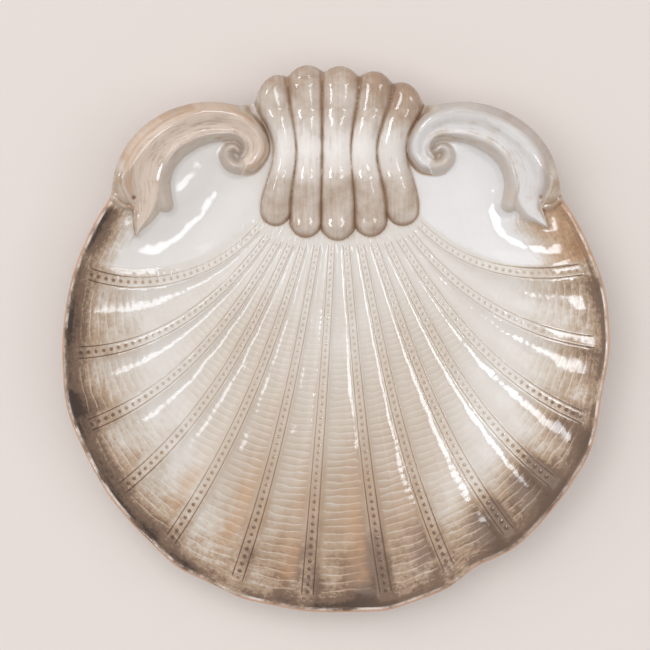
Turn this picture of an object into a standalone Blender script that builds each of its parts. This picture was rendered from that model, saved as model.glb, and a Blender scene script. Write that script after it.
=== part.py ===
"""A glazed ceramic dish in the form of a scallop shell, fired in one piece.

The dish lies on its round foot ring with +Z up, +Y towards the knuckle and +X to the
right. The origin is under the middle of the whole outline, on the surface it stands on.
Every length below is in millimetres and every angle in degrees; MM turns a length into
Blender's metres. Angles run round the WELL point from the front (-Y) towards +X.
"""
import math

import bmesh
import bpy
import numpy as np

MM = 0.001

# --- The whole dish -----------------------------------------------------------------
WELL = (0.0, -5.0)            # the lowest place of the inside, and the middle of the foot
KNUCKLE = (1.8, 106.0)        # the middle of the knuckle's five lobes
RIM_FRONT = 156.0             # the well to the outline, at the front
RIM_SIDE_GAIN = 5.0           # how much wider the outline is at the sides
RIM_BACK_DROP = 4.0           # how far it draws in behind the scrolls and the knuckle
RIM_BACK_FROM = 125.0         # the angle from the front at which it starts to draw in
RIM_BACK_SPREAD = 25.0
RIM_DENTS = (                 # the hand-made unevenness: angle, rise, spread
    (-78.0, 1.6, 6.0), (-35.5, 1.7, 5.0), (-20.0, 0.9, 4.5), (11.0, 1.2, 5.0),
    (32.5, -4.0, 6.0), (67.0, 1.4, 5.5), (80.0, -1.8, 6.5), (101.0, 1.0, 5.5),
)
SCROLL_REACH = 172.0          # the well to the scrolls' furthest points
SCROLL_ANGLE = 138.5
SCROLL_FALL = 0.048           # how fast the scrolls' outline falls away on each side
LOBE_TIPS = (                 # the lobes' upper ends: angle, distance from the well
    (165.4, 161.0), (171.8, 164.0), (179.2, 165.5), (186.2, 166.9), (192.6, 164.0),
)
LOBE_FALL = 0.35
OUTLINE_BLEND = 1.0           # how softly one part of the outline runs into the next

# --- Heights ------------------------------------------------------------------------
WELL_Z = 10.0
WALL = 6.5
RIM_RISE_FRONT = 30.0
RIM_RISE_BACK = 36.0
RISE_FROM = 50.0              # the angle from the front at which the wall grows higher
RISE_SPREAD = 90.0
BOWL_POWER = 3.0              # how sharply the floor of the bowl turns up
BOWL_SLOPE = 0.6              # the straight slope that the wall ends in, near the rim
BOWL_RADIUS = 160.0
FOOT_OUTER = 78.0
FOOT_INNER = 69.0
FOOT_DRAFT = 2.5              # how far the foot's sides lean
LIP = 4.0                     # thickness of the edge: rim, scrolls, knuckle
SCROLL_EDGE = 9.0
SCROLL_EDGE_FROM = (62.0, 50.0)    # angles from the back over which the edge thickens
KNUCKLE_EDGE = 13.0
KNUCKLE_EDGE_FROM = (22.0, 16.0)

# --- The fan ------------------------------------------------------------------------
RIB_ENDS = (                  # the angle at which each rib meets the rim
    -107.0, -89.0, -72.5, -56.5, -40.5, -23.0, -6.5,
    11.5, 27.0, 43.0, 58.0, 74.0, 91.0, 107.5,
)
LAST_RIB = len(RIB_ENDS) - 1
PITCHES = 22                  # rib spacings all the way round
RIB_FOOT_X = (55.4, -7.5)     # the ribs' feet as powers of v: v and v cubed
RIB_FOOT_Y = (57.0, 1.0, 10.8)                  # constant, v and v to the fourth
RIB_LEAVE = (-89.0, 48.0, -6.6)                 # heading at the foot: 1, v, v cubed
RIB_LAND = (-87.0, 93.5, -9.0, 16.0)            # at the rim: 1, v, v squared, v cubed
RIB_BEND = 0.36               # how much of a rib's length each end's heading rules
BAND = (3.7, 7.0)             # a rib band's width, at the knuckle and at the rim
RIB_PITCH = (7.5, 44.0)       # rib spacing, at the knuckle and at the rim
FLANK_TOP = 127.0             # how far up the knuckle's flanks the columns begin
FLANK_GAP = 1.0
FLANK_SHARE = 0.36            # the share of the columns behind the fan on each flank
ARCH_RISE = 20.0
STRAIGHTEN = 2.5              # pitches over which the columns beyond the fan straighten
RIGHT_TURNS = (-32.0, 29.0)   # the last rib's headings from its own chord, foot and rim
LEFT_TURNS = (32.0, -29.0)
FLUTE_DEPTH = 0.1             # depth of a flute for each unit of rib spacing
PANEL_DEPTH = 3.0             # the plain hollow between the fan and each scroll
PANEL_WIDTH = 0.8             # how far from the last rib it is deepest, in rib spacings
RELIEF_FADE = 0.08            # the share of a flute over which it deepens from nothing
RELIEF_CLEAR = 2.0            # flutes die out where a scroll or lobe stands this high

# --- The knuckle: five lobes, pinched at the waist ------------------------------------
LOBES = 5
LOBE_EDGES_TOP = (-51.0, -28.2, -8.2, 13.5, 33.5, 55.0)
LOBE_EDGES_WAIST = (-37.0, -23.5, -8.2, 8.8, 24.1, 42.3)
LOBE_EDGES_FOOT = (-44.7, -27.0, -8.8, 11.2, 30.0, 49.4)
LOBE_FEET = (67.9, 60.9, 59.1, 61.4, 67.9)
WAIST_Y = 111.5
LOBES_WIDEN = (40.0, 34.0)    # how far above and below the waist they reach full width
LOBE_HEIGHT = 6.5
KNUCKLE_PROFILE = (           # height of the grooves between the lobes along Y
    (56.0, 11.0), (68.5, 15.2), (74.0, 16.7), (93.0, 24.1), (100.5, 25.8),
    (112.0, 30.0), (127.0, 35.9), (135.5, 37.7), (145.0, 41.6), (156.0, 42.2),
)
KNUCKLE_SHOULDER = 9.0        # how wide the knuckle's rounded border is

# --- The scrolls: X, Y and half width along the left one, from its leaf to its eye ----
SCROLL = (
    (-114.5, 78.0, 16.0), (-114.0, 94.0, 15.6), (-111.0, 105.5, 15.8), (-103.0, 115.0, 15.2),
    (-91.0, 122.5, 13.2), (-79.5, 127.0, 12.2), (-68.5, 128.5, 11.6), (-57.5, 127.5, 9.8),
    (-50.0, 122.5, 8.8), (-46.5, 113.0, 8.6), (-49.5, 105.5, 6.6), (-56.0, 103.0, 5.0),
    (-61.5, 106.0, 5.2), (-64.0, 111.0, 5.4), (-62.5, 114.5, 4.0), (-58.5, 113.5, 2.5),
)
SCROLL_MIRROR_X = 0.8         # the right scroll is the left one mirrored about this line
SCROLL_HEIGHT = 9.0
SCROLL_FULL_WIDTH = 10.0      # narrower than this, the scroll is lower as well

# --- How finely the solid is drawn -----------------------------------------------------
FAN_STEPS = (-0.09, 0.09, 0.33, 0.67)   # columns in each rib spacing, from the rib's middle
SCROLL_COLUMNS = 25
LOBE_COLUMNS = 4
LAST_NOTCHES = (5.2, 5.4)     # angles from the outer lobes' tips to the notches beside them
FAN_MARGIN = 1.5              # the angle between the last rib and the next column
POLE_ROWS = 9                 # rows from the knuckle's middle to the ribs' feet
FAN_ROWS = 14                 # rows from there to the rim
FAN_ROW_POWER = 1.15          # above 1, rows crowd towards the rim
LIP_ROWS = 4
BACK_ROWS = 5                 # rows from the rim to the foot
BACK_ROW_POWER = 1.3          # above 1, rows crowd towards the foot
SPINE_STEPS = 8               # points on a scroll's spine between two stations
SHARP_ANGLE = 40.0


def smooth_step(x):
    x = np.clip(x, 0.0, 1.0)
    return x * x * (3.0 - 2.0 * x)


def mix(a, b, share):
    return a + (b - a) * share


def polar_point(angle, radius):
    turn = np.radians(angle)
    return WELL[0] + radius * np.sin(turn), WELL[1] - radius * np.cos(turn)


def polar_of(x, y):
    """The angle round the well, from 0 to 360, and the distance from it."""
    across, along = x - WELL[0], y - WELL[1]
    return np.degrees(np.arctan2(across, -along)) % 360.0, np.hypot(across, along)


def angle_gap(angle, other):
    return (angle - other + 180.0) % 360.0 - 180.0


def shell_radius(angle):
    """The shell's own outline, nearly round, with the dents of a hand-pressed piece."""
    radius = RIM_FRONT + RIM_SIDE_GAIN * np.sin(np.radians(angle)) ** 2
    behind = smooth_step((np.abs(angle_gap(angle, 0.0)) - RIM_BACK_FROM) / RIM_BACK_SPREAD)
    radius = radius - RIM_BACK_DROP * behind
    for place, rise, spread in RIM_DENTS:
        radius = radius + rise * np.exp(-((angle_gap(angle, place) / spread) ** 2))
    return radius


def outline_radius(angle):
    """The whole outline: whichever of shell, scrolls and lobes reaches furthest."""
    reach = [shell_radius(angle)]
    for side in (SCROLL_ANGLE, -SCROLL_ANGLE):
        reach.append(SCROLL_REACH - SCROLL_FALL * angle_gap(angle, side) ** 2)
    for place, length in LOBE_TIPS:
        reach.append(length - LOBE_FALL * angle_gap(angle, place) ** 2)
    reach = np.stack(reach)
    top = reach.max(axis=0)
    return top + OUTLINE_BLEND * np.log(np.exp((reach - top) / OUTLINE_BLEND).sum(axis=0))


def bowl_height(x, y):
    """The dish's smooth inner surface, under its ribs and scrolls."""
    angle, radius = polar_of(x, y)
    back = smooth_step((np.abs(angle_gap(angle, 0.0)) - RISE_FROM) / RISE_SPREAD)
    rise = mix(RIM_RISE_FRONT, RIM_RISE_BACK, back)
    share = radius / BOWL_RADIUS
    slope = 1.0 - BOWL_SLOPE * (1.0 - share)
    return WELL_Z + rise * np.minimum(share ** BOWL_POWER, slope)


def column_angle(pitch):
    """Where a column of the mesh meets the outline; ribs stand at whole pitches."""
    places = [*range(LAST_RIB + 1), PITCHES]
    return np.interp(pitch, places, [*RIB_ENDS, RIB_ENDS[0] + 360.0])


def lobe_edges(y):
    """Where the grooves between the lobes lie in X, at each Y."""
    up = smooth_step((y - WAIST_Y) / LOBES_WIDEN[0])
    down = smooth_step((WAIST_Y - y) / LOBES_WIDEN[1])
    return [w + (t - w) * up + (f - w) * down
            for t, w, f in zip(LOBE_EDGES_TOP, LOBE_EDGES_WAIST, LOBE_EDGES_FOOT)]


def rib_foot(v):
    """A rib's start under the lobes; v runs from -1 at the left rib to 1 at the right."""
    x = KNUCKLE[0] + RIB_FOOT_X[0] * v + RIB_FOOT_X[1] * v ** 3
    y = RIB_FOOT_Y[0] + RIB_FOOT_Y[1] * v + RIB_FOOT_Y[2] * v ** 4
    return x, y


def column_start(pitch):
    """The loop round the knuckle on which the columns begin: the ribs' feet, the lobes'
    flanks, and an arch over their upper half."""
    v = np.minimum(2.0 * pitch / LAST_RIB - 1.0, 1.0)
    x_fan, y_fan = rib_foot(v)
    share = (pitch - LAST_RIB) / (PITCHES - LAST_RIB)
    near = np.minimum(share, 1.0 - share)
    y_flank = mix(y_fan, FLANK_TOP, near / FLANK_SHARE)
    edges = lobe_edges(np.minimum(y_flank, FLANK_TOP))
    x_flank = np.where(share < 0.5, edges[-1] + FLANK_GAP, edges[0] - FLANK_GAP)
    swing = np.clip((share - FLANK_SHARE) / (1.0 - 2.0 * FLANK_SHARE), 0.0, 1.0)
    corners = lobe_edges(np.array([FLANK_TOP]))
    x_arch = mix(corners[-1] + FLANK_GAP, corners[0] - FLANK_GAP, swing)
    y_arch = FLANK_TOP + ARCH_RISE * np.sin(math.pi * swing)
    on_arch = near > FLANK_SHARE
    x_top = np.where(on_arch, x_arch, x_flank)
    y_top = np.where(on_arch, y_arch, y_flank)
    fan = pitch <= LAST_RIB
    return np.where(fan, x_fan, x_top), np.where(fan, y_fan, y_top)


def column_headings(pitch, chord):
    """The directions in which a column leaves the knuckle and meets the rim."""
    v = np.minimum(2.0 * pitch / LAST_RIB - 1.0, 1.0)
    leave = RIB_LEAVE[0] + RIB_LEAVE[1] * v + RIB_LEAVE[2] * v ** 3
    land = RIB_LAND[0] + RIB_LAND[1] * v + RIB_LAND[2] * v ** 2 + RIB_LAND[3] * v ** 3
    past = pitch - LAST_RIB
    before = PITCHES - pitch
    right = 1.0 - smooth_step(past / STRAIGHTEN)
    left = 1.0 - smooth_step(before / STRAIGHTEN)
    leave_top = chord + right * RIGHT_TURNS[0] + left * LEFT_TURNS[0]
    land_top = chord + right * RIGHT_TURNS[1] + left * LEFT_TURNS[1]
    fan = pitch <= LAST_RIB
    return np.where(fan, leave, leave_top), np.where(fan, land, land_top)


def edge_thickness(angle):
    """The edge is thin at the rim, thicker round the scrolls and thickest at the knuckle."""
    from_back = np.abs(angle_gap(angle, 180.0))
    shares = [smooth_step((from_back - start) / (end - start))
              for start, end in (SCROLL_EDGE_FROM, KNUCKLE_EDGE_FROM)]
    return mix(mix(LIP, SCROLL_EDGE, shares[0]), KNUCKLE_EDGE, shares[1])


def plan_point(pitch, along):
    """A column's place in plan, from the knuckle's middle (-1) by the ribs' feet (0) to
    the start of the lip (1)."""
    x0, y0 = column_start(pitch)
    angle = column_angle(pitch)
    x3, y3 = polar_point(angle, outline_radius(angle) - edge_thickness(angle) / 2.0)
    reach = RIB_BEND * np.hypot(x3 - x0, y3 - y0)
    chord = np.degrees(np.arctan2(y3 - y0, x3 - x0))
    start, end = np.radians(column_headings(pitch, chord))
    x1, y1 = x0 + reach * np.cos(start), y0 + reach * np.sin(start)
    x2, y2 = x3 - reach * np.cos(end), y3 - reach * np.sin(end)
    t = np.clip(along, 0.0, 1.0)
    s = 1.0 - t
    x = s ** 3 * x0 + 3 * s * s * t * x1 + 3 * s * t * t * x2 + t ** 3 * x3
    y = s ** 3 * y0 + 3 * s * s * t * y1 + 3 * s * t * t * y2 + t ** 3 * y3
    inner = np.clip(along + 1.0, 0.0, 1.0)
    x = np.where(along < 0.0, mix(KNUCKLE[0], x0, inner), x)
    y = np.where(along < 0.0, mix(KNUCKLE[1], y0, inner), y)
    return x, y


def fan_relief(pitch, along):
    """Flat rib bands with a hollow flute between each two, and the plain panels."""
    t = np.clip(along, 0.0, 1.0)
    spacing = mix(RIB_PITCH[0], RIB_PITCH[1], t)
    band = mix(BAND[0], BAND[1], t) / spacing / 2.0
    in_fan = pitch <= LAST_RIB
    off_rib = np.abs(pitch - np.round(pitch))
    across = np.clip((off_rib - band) / (0.5 - band), 0.0, 1.0)
    flute = FLUTE_DEPTH * spacing * (1.0 - (1.0 - across) ** 2)
    past = np.minimum(pitch - LAST_RIB, PITCHES - pitch)
    across = np.clip((past - band) / PANEL_WIDTH, 0.0, 1.0)
    panel = PANEL_DEPTH * t * (1.0 - (1.0 - across) ** 2)
    return -np.where(in_fan, flute, panel) * smooth_step(along / RELIEF_FADE)


def round_edge(depth, width):
    """A rounded shoulder: 0 outside, rising to 1 a width inside."""
    inside = np.clip(depth / width, 0.0, 1.0)
    return 1.0 - (1.0 - inside) ** 2


def knuckle_height(x, y, bowl):
    """The five lobes, above the smooth bowl."""
    edges = lobe_edges(y)
    heights, places = zip(*[(z, p) for p, z in KNUCKLE_PROFILE])
    grooves = np.interp(y, places, heights) - bowl
    foot_line = np.full_like(x, 1e3)
    lobes = np.zeros_like(x)
    for i in range(LOBES):
        middle = (edges[i] + edges[i + 1]) / 2.0
        half = (edges[i + 1] - edges[i]) / 2.0
        across = np.abs(x - middle) / half
        below = np.maximum(LOBE_FEET[i] + half - y, 0.0) / half
        lobes = np.maximum(lobes, 1.0 - across ** 2 - below ** 2)
        foot = LOBE_FEET[i] + half - half * np.sqrt(np.maximum(1.0 - across ** 2, 0.0))
        foot_line = np.where(across <= 1.0, np.minimum(foot_line, foot), foot_line)
    side = round_edge(np.minimum(x - edges[0], edges[-1] - x), KNUCKLE_SHOULDER)
    foot = round_edge(y - foot_line, KNUCKLE_SHOULDER)
    return side * foot * np.maximum(grooves, 0.0) + LOBE_HEIGHT * lobes


def scroll_spine():
    """A smooth curve through the scroll's stations, as rows of X, Y and half width."""
    stations = np.array([SCROLL[0], *SCROLL, SCROLL[-1]])
    rows = []
    for a, b, c, d in zip(stations, stations[1:], stations[2:], stations[3:]):
        for k in range(SPINE_STEPS):
            t = k / SPINE_STEPS
            rows.append(0.5 * (2 * b + (c - a) * t + (2 * a - 5 * b + 4 * c - d) * t * t
                               + (3 * b - a - 3 * c + d) * t ** 3))
    return np.array(rows)


def scroll_height(x, y):
    """Both scrolls above the bowl: a roll that follows the spiral spine."""
    spine = scroll_spine()
    total = np.zeros_like(x)
    for mirror in (False, True):
        px = 2.0 * SCROLL_MIRROR_X - x if mirror else x
        dx = px[:, None] - spine[None, :, 0]
        dy = y[:, None] - spine[None, :, 1]
        nearest = (np.hypot(dx, dy) / spine[:, 2]).argmin(axis=1)
        point = np.arange(len(x))
        dx, dy, half = dx[point, nearest], dy[point, nearest], spine[nearest, 2]
        across = np.hypot(dx, dy) / half
        roll = np.sqrt(np.maximum(1.0 - across ** 2, 0.0))
        size = np.minimum(half / SCROLL_FULL_WIDTH, 1.0)
        total = np.maximum(total, SCROLL_HEIGHT * roll * size)
    return total


def top_height(pitch, along, x, y):
    bowl = bowl_height(x, y)
    raised = np.maximum(knuckle_height(x, y, bowl), scroll_height(x, y))
    relief = fan_relief(pitch, along) * smooth_step(1.0 - raised / RELIEF_CLEAR)
    return bowl + relief + raised


def column_pitches():
    """The columns' places round the dish, closest together where the shape is busiest."""
    pitches = [rib + step for rib in range(LAST_RIB) for step in FAN_STEPS]
    pitches = [p for p in pitches if p > 0.0] + [LAST_RIB - FAN_STEPS[1]]
    first, last = RIB_ENDS[-1], RIB_ENDS[0] + 360.0

    def pitch_at(angle):
        return LAST_RIB + (angle - first) / (last - first) * (PITCHES - LAST_RIB)

    notches = [(a[0] + b[0]) / 2.0 for a, b in zip(LOBE_TIPS, LOBE_TIPS[1:])]
    notches.insert(0, LOBE_TIPS[0][0] - LAST_NOTCHES[0])
    notches.append(LOBE_TIPS[-1][0] + LAST_NOTCHES[1])
    stops = [first + FAN_MARGIN, *notches, last - FAN_MARGIN]
    counts = [SCROLL_COLUMNS] + [LOBE_COLUMNS] * LOBES + [SCROLL_COLUMNS]
    for begin, end, count in zip(stops, stops[1:], counts):
        pitches += [pitch_at(mix(begin, end, k / count)) for k in range(count)]
    pitches.append(pitch_at(stops[-1]))
    return np.array(pitches)


def back_rows(angle, edge_x, edge_y, edge_z):
    """The underside's rows from the lip in to the foot ring and its middle."""
    radius = np.hypot(edge_x - WELL[0], edge_y - WELL[1])
    drop = edge_z - (bowl_height(edge_x, edge_y) - WALL)
    rows = []

    def back_at(r):
        x, y = polar_point(angle, r)
        share = np.clip((r - FOOT_OUTER) / (radius - FOOT_OUTER), 0.0, 1.0)
        return x, y, bowl_height(x, y) - WALL + drop * share ** 2

    for k in range(1, BACK_ROWS + 1):
        share = (1.0 - k / BACK_ROWS) ** BACK_ROW_POWER
        rows.append(back_at(mix(FOOT_OUTER + FOOT_DRAFT, radius, share)))
    for r in (FOOT_OUTER, FOOT_INNER):
        x, y = polar_point(angle, r)
        rows.append((x, y, np.zeros_like(x)))
    for r in (FOOT_INNER - FOOT_DRAFT, FOOT_INNER / 2.0):
        rows.append(back_at(np.full_like(angle, r)))
    return rows


def dish_rows():
    """Every row of the mesh, from the top's pole round the lip to the back's pole."""
    pitches = column_pitches()
    angle = column_angle(pitches)
    pole_steps = [-1.0 + k / POLE_ROWS for k in range(1, POLE_ROWS)]
    fan_steps = [1.0 - (1.0 - k / FAN_ROWS) ** FAN_ROW_POWER for k in range(FAN_ROWS + 1)]
    rows = []
    for along in pole_steps + fan_steps:
        steps = np.full_like(pitches, along)
        x, y = plan_point(pitches, steps)
        rows.append((x, y, top_height(pitches, steps, x, y)))
    edge_x, edge_y, edge_z = rows[-1]
    half = edge_thickness(angle) / 2.0
    for k in range(1, LIP_ROWS + 1):
        turn = math.pi * k / LIP_ROWS
        out = half * math.sin(turn)
        rows.append((edge_x + out * np.sin(np.radians(angle)),
                     edge_y - out * np.cos(np.radians(angle)),
                     edge_z - half * (1.0 - math.cos(turn))))
    return rows + back_rows(angle, edge_x, edge_y, rows[-1][2])


def dish_mesh():
    """A closed ball of rows and columns, each corner moved to its place on the dish."""
    rows = dish_rows()
    columns = len(rows[0][0])
    mesh = bpy.data.meshes.new("shell_dish")
    bm = bmesh.new()
    bmesh.ops.create_uvsphere(bm, u_segments=columns, v_segments=len(rows) + 1, radius=1.0)
    back_pole = bowl_height(np.array([WELL[0]]), np.array([WELL[1]]))[0] - WALL
    top_pole = top_height(np.array([LAST_RIB / 2.0]), np.array([-1.0]),
                          np.array([KNUCKLE[0]]), np.array([KNUCKLE[1]]))[0]
    for vert in bm.verts:
        row = round(math.acos(max(-1.0, min(1.0, vert.co.z))) / math.pi * (len(rows) + 1)) - 1
        if row < 0:
            vert.co = (KNUCKLE[0], KNUCKLE[1], top_pole)
        elif row >= len(rows):
            vert.co = (WELL[0], WELL[1], back_pole)
        else:
            turn = math.atan2(vert.co.y, vert.co.x) / (2.0 * math.pi)
            column = round(turn * columns) % columns
            vert.co = [line[column] for line in rows[row]]
    bmesh.ops.scale(bm, vec=(MM, MM, MM), verts=bm.verts)
    bmesh.ops.triangulate(bm, faces=bm.faces)
    bmesh.ops.recalc_face_normals(bm, faces=bm.faces)
    bm.to_mesh(mesh)
    bm.free()
    return mesh


def glaze_material():
    """Cream glaze over pale clay."""
    material = bpy.data.materials.new("ivory_glaze")
    material.use_nodes = True
    shader = material.node_tree.nodes["Principled BSDF"]
    shader.inputs["Base Color"].default_value = (0.72, 0.64, 0.55, 1.0)
    shader.inputs["Roughness"].default_value = 0.15
    shader.inputs["Metallic"].default_value = 0.0
    return material


def main():
    for item in list(bpy.data.objects):
        bpy.data.objects.remove(item)
    mesh = dish_mesh()
    mesh.materials.append(glaze_material())
    mesh.shade_smooth()
    mesh.set_sharp_from_angle(angle=math.radians(SHARP_ANGLE))
    dish = bpy.data.objects.new("shell_dish", mesh)
    bpy.context.scene.collection.objects.link(dish)


main()
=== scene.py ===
# %% [markdown]
# # A glazed dish in the form of a scallop shell
#
# The real dish is one piece of fired clay. A potter presses or casts it in a mould, which
# gives it the ribs, the lobed knuckle and the two scrolls. Then the beads and lines are
# tooled into the damp clay, a thin brown wash is brushed on and wiped back, and a clear gloss
# glaze goes over everything. So the model is one closed skin too, and the work is in its
# relief and in its colour.
#
# The first cell loads the plain solid that fixes the dish's size and place.

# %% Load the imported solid
import math

import bmesh
import bpy
import numpy as np
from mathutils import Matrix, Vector


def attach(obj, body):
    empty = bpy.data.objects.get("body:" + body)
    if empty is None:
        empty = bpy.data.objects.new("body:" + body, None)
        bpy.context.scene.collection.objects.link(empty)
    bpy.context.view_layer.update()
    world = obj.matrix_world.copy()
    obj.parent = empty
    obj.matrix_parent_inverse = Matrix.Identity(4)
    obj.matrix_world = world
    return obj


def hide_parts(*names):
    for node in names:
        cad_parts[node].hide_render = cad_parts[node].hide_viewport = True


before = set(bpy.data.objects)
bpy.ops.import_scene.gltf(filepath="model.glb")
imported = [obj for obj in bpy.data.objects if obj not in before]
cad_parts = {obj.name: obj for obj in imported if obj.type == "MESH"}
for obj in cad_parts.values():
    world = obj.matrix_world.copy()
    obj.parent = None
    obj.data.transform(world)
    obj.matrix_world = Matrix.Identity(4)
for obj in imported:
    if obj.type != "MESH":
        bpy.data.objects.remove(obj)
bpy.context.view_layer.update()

# %% [markdown]
# ## The plan of the dish
#
# Everything is placed in millimetres, with +Y towards the knuckle and the dish's lowest place,
# the well, near the middle. Angles run round the well from the front towards +X. The outline
# is the furthest of three things: the nearly round shell, the two scrolls and the five lobes.
# Taking a soft maximum of the three rounds the notches between them, as glaze does.

# %% Angles and distances
MM = 0.001
WELL = (0.0, -5.0)
KNUCKLE = (1.8, 106.0)


def smooth_step(x):
    x = np.clip(x, 0.0, 1.0)
    return x * x * (3.0 - 2.0 * x)


def ramp(x, start, end):
    """Smoothly from 0 at start to 1 at end."""
    return smooth_step((x - start) / (end - start))


def mix(a, b, share):
    return a + (b - a) * share


def angle_gap(angle, other):
    return (angle - other + 180.0) % 360.0 - 180.0


def polar_point(angle, radius):
    turn = np.radians(angle)
    return WELL[0] + radius * np.sin(turn), WELL[1] - radius * np.cos(turn)


def polar_of(x, y):
    across, along = x - WELL[0], y - WELL[1]
    return np.degrees(np.arctan2(across, -along)) % 360.0, np.hypot(across, along)


print("from 350 to 10 degrees:", angle_gap(10.0, 350.0), "degrees")

# %% The outline
RIM_FRONT = 156.0             # the well to the outline, at the front
RIM_SIDE_GAIN = 5.0           # how much wider the outline is at the sides
RIM_BACK_DROP = 4.0           # how far it draws in behind the scrolls and the knuckle
RIM_BACK_FROM = 125.0         # the angle at which it starts to draw in
RIM_BACK_SPREAD = 25.0
RIM_DENTS = (                 # the hand-made unevenness: angle, rise, spread
    (-78.0, 1.6, 6.0), (-35.5, 1.7, 5.0), (-20.0, 0.9, 4.5), (11.0, 1.2, 5.0),
    (32.5, -4.0, 6.0), (67.0, 1.4, 5.5), (80.0, -1.8, 6.5), (101.0, 1.0, 5.5),
)
SCROLL_REACH = 172.0
SCROLL_ANGLE = 138.5
SCROLL_FALL = (0.062, 0.048)  # towards the shell, towards the knuckle
LOBE_TIPS = ((165.4, 161.0), (171.8, 164.0), (179.2, 165.5), (186.2, 166.9), (192.6, 164.0))
LOBE_FALL = 0.35
OUTLINE_BLEND = 1.0


def outline_radius(angle):
    shell = RIM_FRONT + RIM_SIDE_GAIN * np.sin(np.radians(angle)) ** 2
    behind = smooth_step((np.abs(angle_gap(angle, 0.0)) - RIM_BACK_FROM) / RIM_BACK_SPREAD)
    shell = shell - RIM_BACK_DROP * behind
    for place, rise, spread in RIM_DENTS:
        shell = shell + rise * np.exp(-((angle_gap(angle, place) / spread) ** 2))
    reach = [shell]
    for side in (SCROLL_ANGLE, -SCROLL_ANGLE):
        off = angle_gap(angle, side)
        fall = np.where(off * side < 0.0, *SCROLL_FALL)
        reach.append(SCROLL_REACH - fall * off ** 2)
    for place, length in LOBE_TIPS:
        reach.append(length - LOBE_FALL * angle_gap(angle, place) ** 2)
    reach = np.stack(reach)
    top = reach.max(axis=0)
    return top + OUTLINE_BLEND * np.log(np.exp((reach - top) / OUTLINE_BLEND).sum(axis=0))


print("outline at the front, side and scroll:", outline_radius(np.array([0.0, 90.0, 138.5])))

# %% [markdown]
# ## The ribs' courses
#
# Fourteen ribs leave the knuckle's feet close together and fan out to the rim. Each is a
# smooth curve with a heading at each end. The mesh's columns follow the same curves, so an
# incised line or a bead never cuts across the grain of the mesh. `pitch` counts ribs: it is
# 0 at the left rib, 13 at the right one, and 13 to 22 goes round behind the scrolls and the
# knuckle. `along` is -1 in the middle of the knuckle, 0 at the ribs' feet and 1 at the edge.

# %% Where each column meets the edge
RIB_ENDS = (
    -107.0, -89.0, -72.5, -56.5, -40.5, -23.0, -6.5,
    11.5, 27.0, 43.0, 58.0, 74.0, 91.0, 107.5,
)
LAST_RIB = len(RIB_ENDS) - 1
PITCHES = 22


def column_angle(pitch):
    places = [*range(LAST_RIB + 1), PITCHES]
    return np.interp(pitch, places, [*RIB_ENDS, RIB_ENDS[0] + 360.0])


def across_fan(pitch):
    """-1 at the left rib and 1 at the right one."""
    return np.minimum(2.0 * pitch / LAST_RIB - 1.0, 1.0)


print(len(RIB_ENDS), "ribs, and", PITCHES - LAST_RIB, "pitches behind them")

# %% [markdown]
# ## The loop that the columns start from
#
# On the dish the ribs come out from under the knuckle. So the columns start on a loop round
# it: the ribs' feet in front, the outer lobes' flanks at the sides, and an arch behind. The
# grooves between the lobes are needed first, because the flanks run beside the outer ones.

# %% The loop round the knuckle
WAIST_Y = 111.5
LOBES_WIDEN = (40.0, 34.0)
LOBE_EDGES_TOP = (-51.0, -28.2, -8.2, 13.5, 33.5, 55.0)
LOBE_EDGES_WAIST = (-37.0, -23.5, -8.2, 8.8, 24.1, 42.3)
LOBE_EDGES_FOOT = (-44.7, -27.0, -8.8, 11.2, 30.0, 49.4)


def lobe_edges(y):
    """Where the grooves between the lobes lie in X, at each Y."""
    up = smooth_step((y - WAIST_Y) / LOBES_WIDEN[0])
    down = smooth_step((WAIST_Y - y) / LOBES_WIDEN[1])
    return [w + (t - w) * up + (f - w) * down
            for t, w, f in zip(LOBE_EDGES_TOP, LOBE_EDGES_WAIST, LOBE_EDGES_FOOT)]


RIB_FOOT_X = (55.4, -7.5)
RIB_FOOT_Y = (57.0, 1.0, 10.8)
FLANK_TOP = 127.0
FLANK_GAP = 1.0
FLANK_SHARE = 0.36
ARCH_RISE = 20.0


def column_start(pitch):
    """The loop round the knuckle: the ribs' feet, the flanks, and an arch behind."""
    v = across_fan(pitch)
    x_fan = KNUCKLE[0] + RIB_FOOT_X[0] * v + RIB_FOOT_X[1] * v ** 3
    y_fan = RIB_FOOT_Y[0] + RIB_FOOT_Y[1] * v + RIB_FOOT_Y[2] * v ** 4
    share = (pitch - LAST_RIB) / (PITCHES - LAST_RIB)
    near = np.minimum(share, 1.0 - share)
    y_flank = mix(y_fan, FLANK_TOP, near / FLANK_SHARE)
    edges = lobe_edges(np.minimum(y_flank, FLANK_TOP))
    x_flank = np.where(share < 0.5, edges[-1] + FLANK_GAP, edges[0] - FLANK_GAP)
    swing = np.clip((share - FLANK_SHARE) / (1.0 - 2.0 * FLANK_SHARE), 0.0, 1.0)
    corners = lobe_edges(np.array([FLANK_TOP]))
    x_arch = mix(corners[-1] + FLANK_GAP, corners[0] - FLANK_GAP, swing)
    y_arch = FLANK_TOP + ARCH_RISE * np.sin(math.pi * swing)
    on_arch = near > FLANK_SHARE
    fan = pitch <= LAST_RIB
    return (np.where(fan, x_fan, np.where(on_arch, x_arch, x_flank)),
            np.where(fan, y_fan, np.where(on_arch, y_arch, y_flank)))


print("the outer ribs' feet, X and Y:", *column_start(np.array([0.0, LAST_RIB])))

# %% [markdown]
# ## From the loop to the edge
#
# A column is a curve between two ends with a heading at each, like a thin batten that is bent
# by turning its ends. Headings that change slowly from one column to the next keep the curves
# from crossing. The edge is thin at the rim and thicker round the scrolls and the knuckle.

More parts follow.
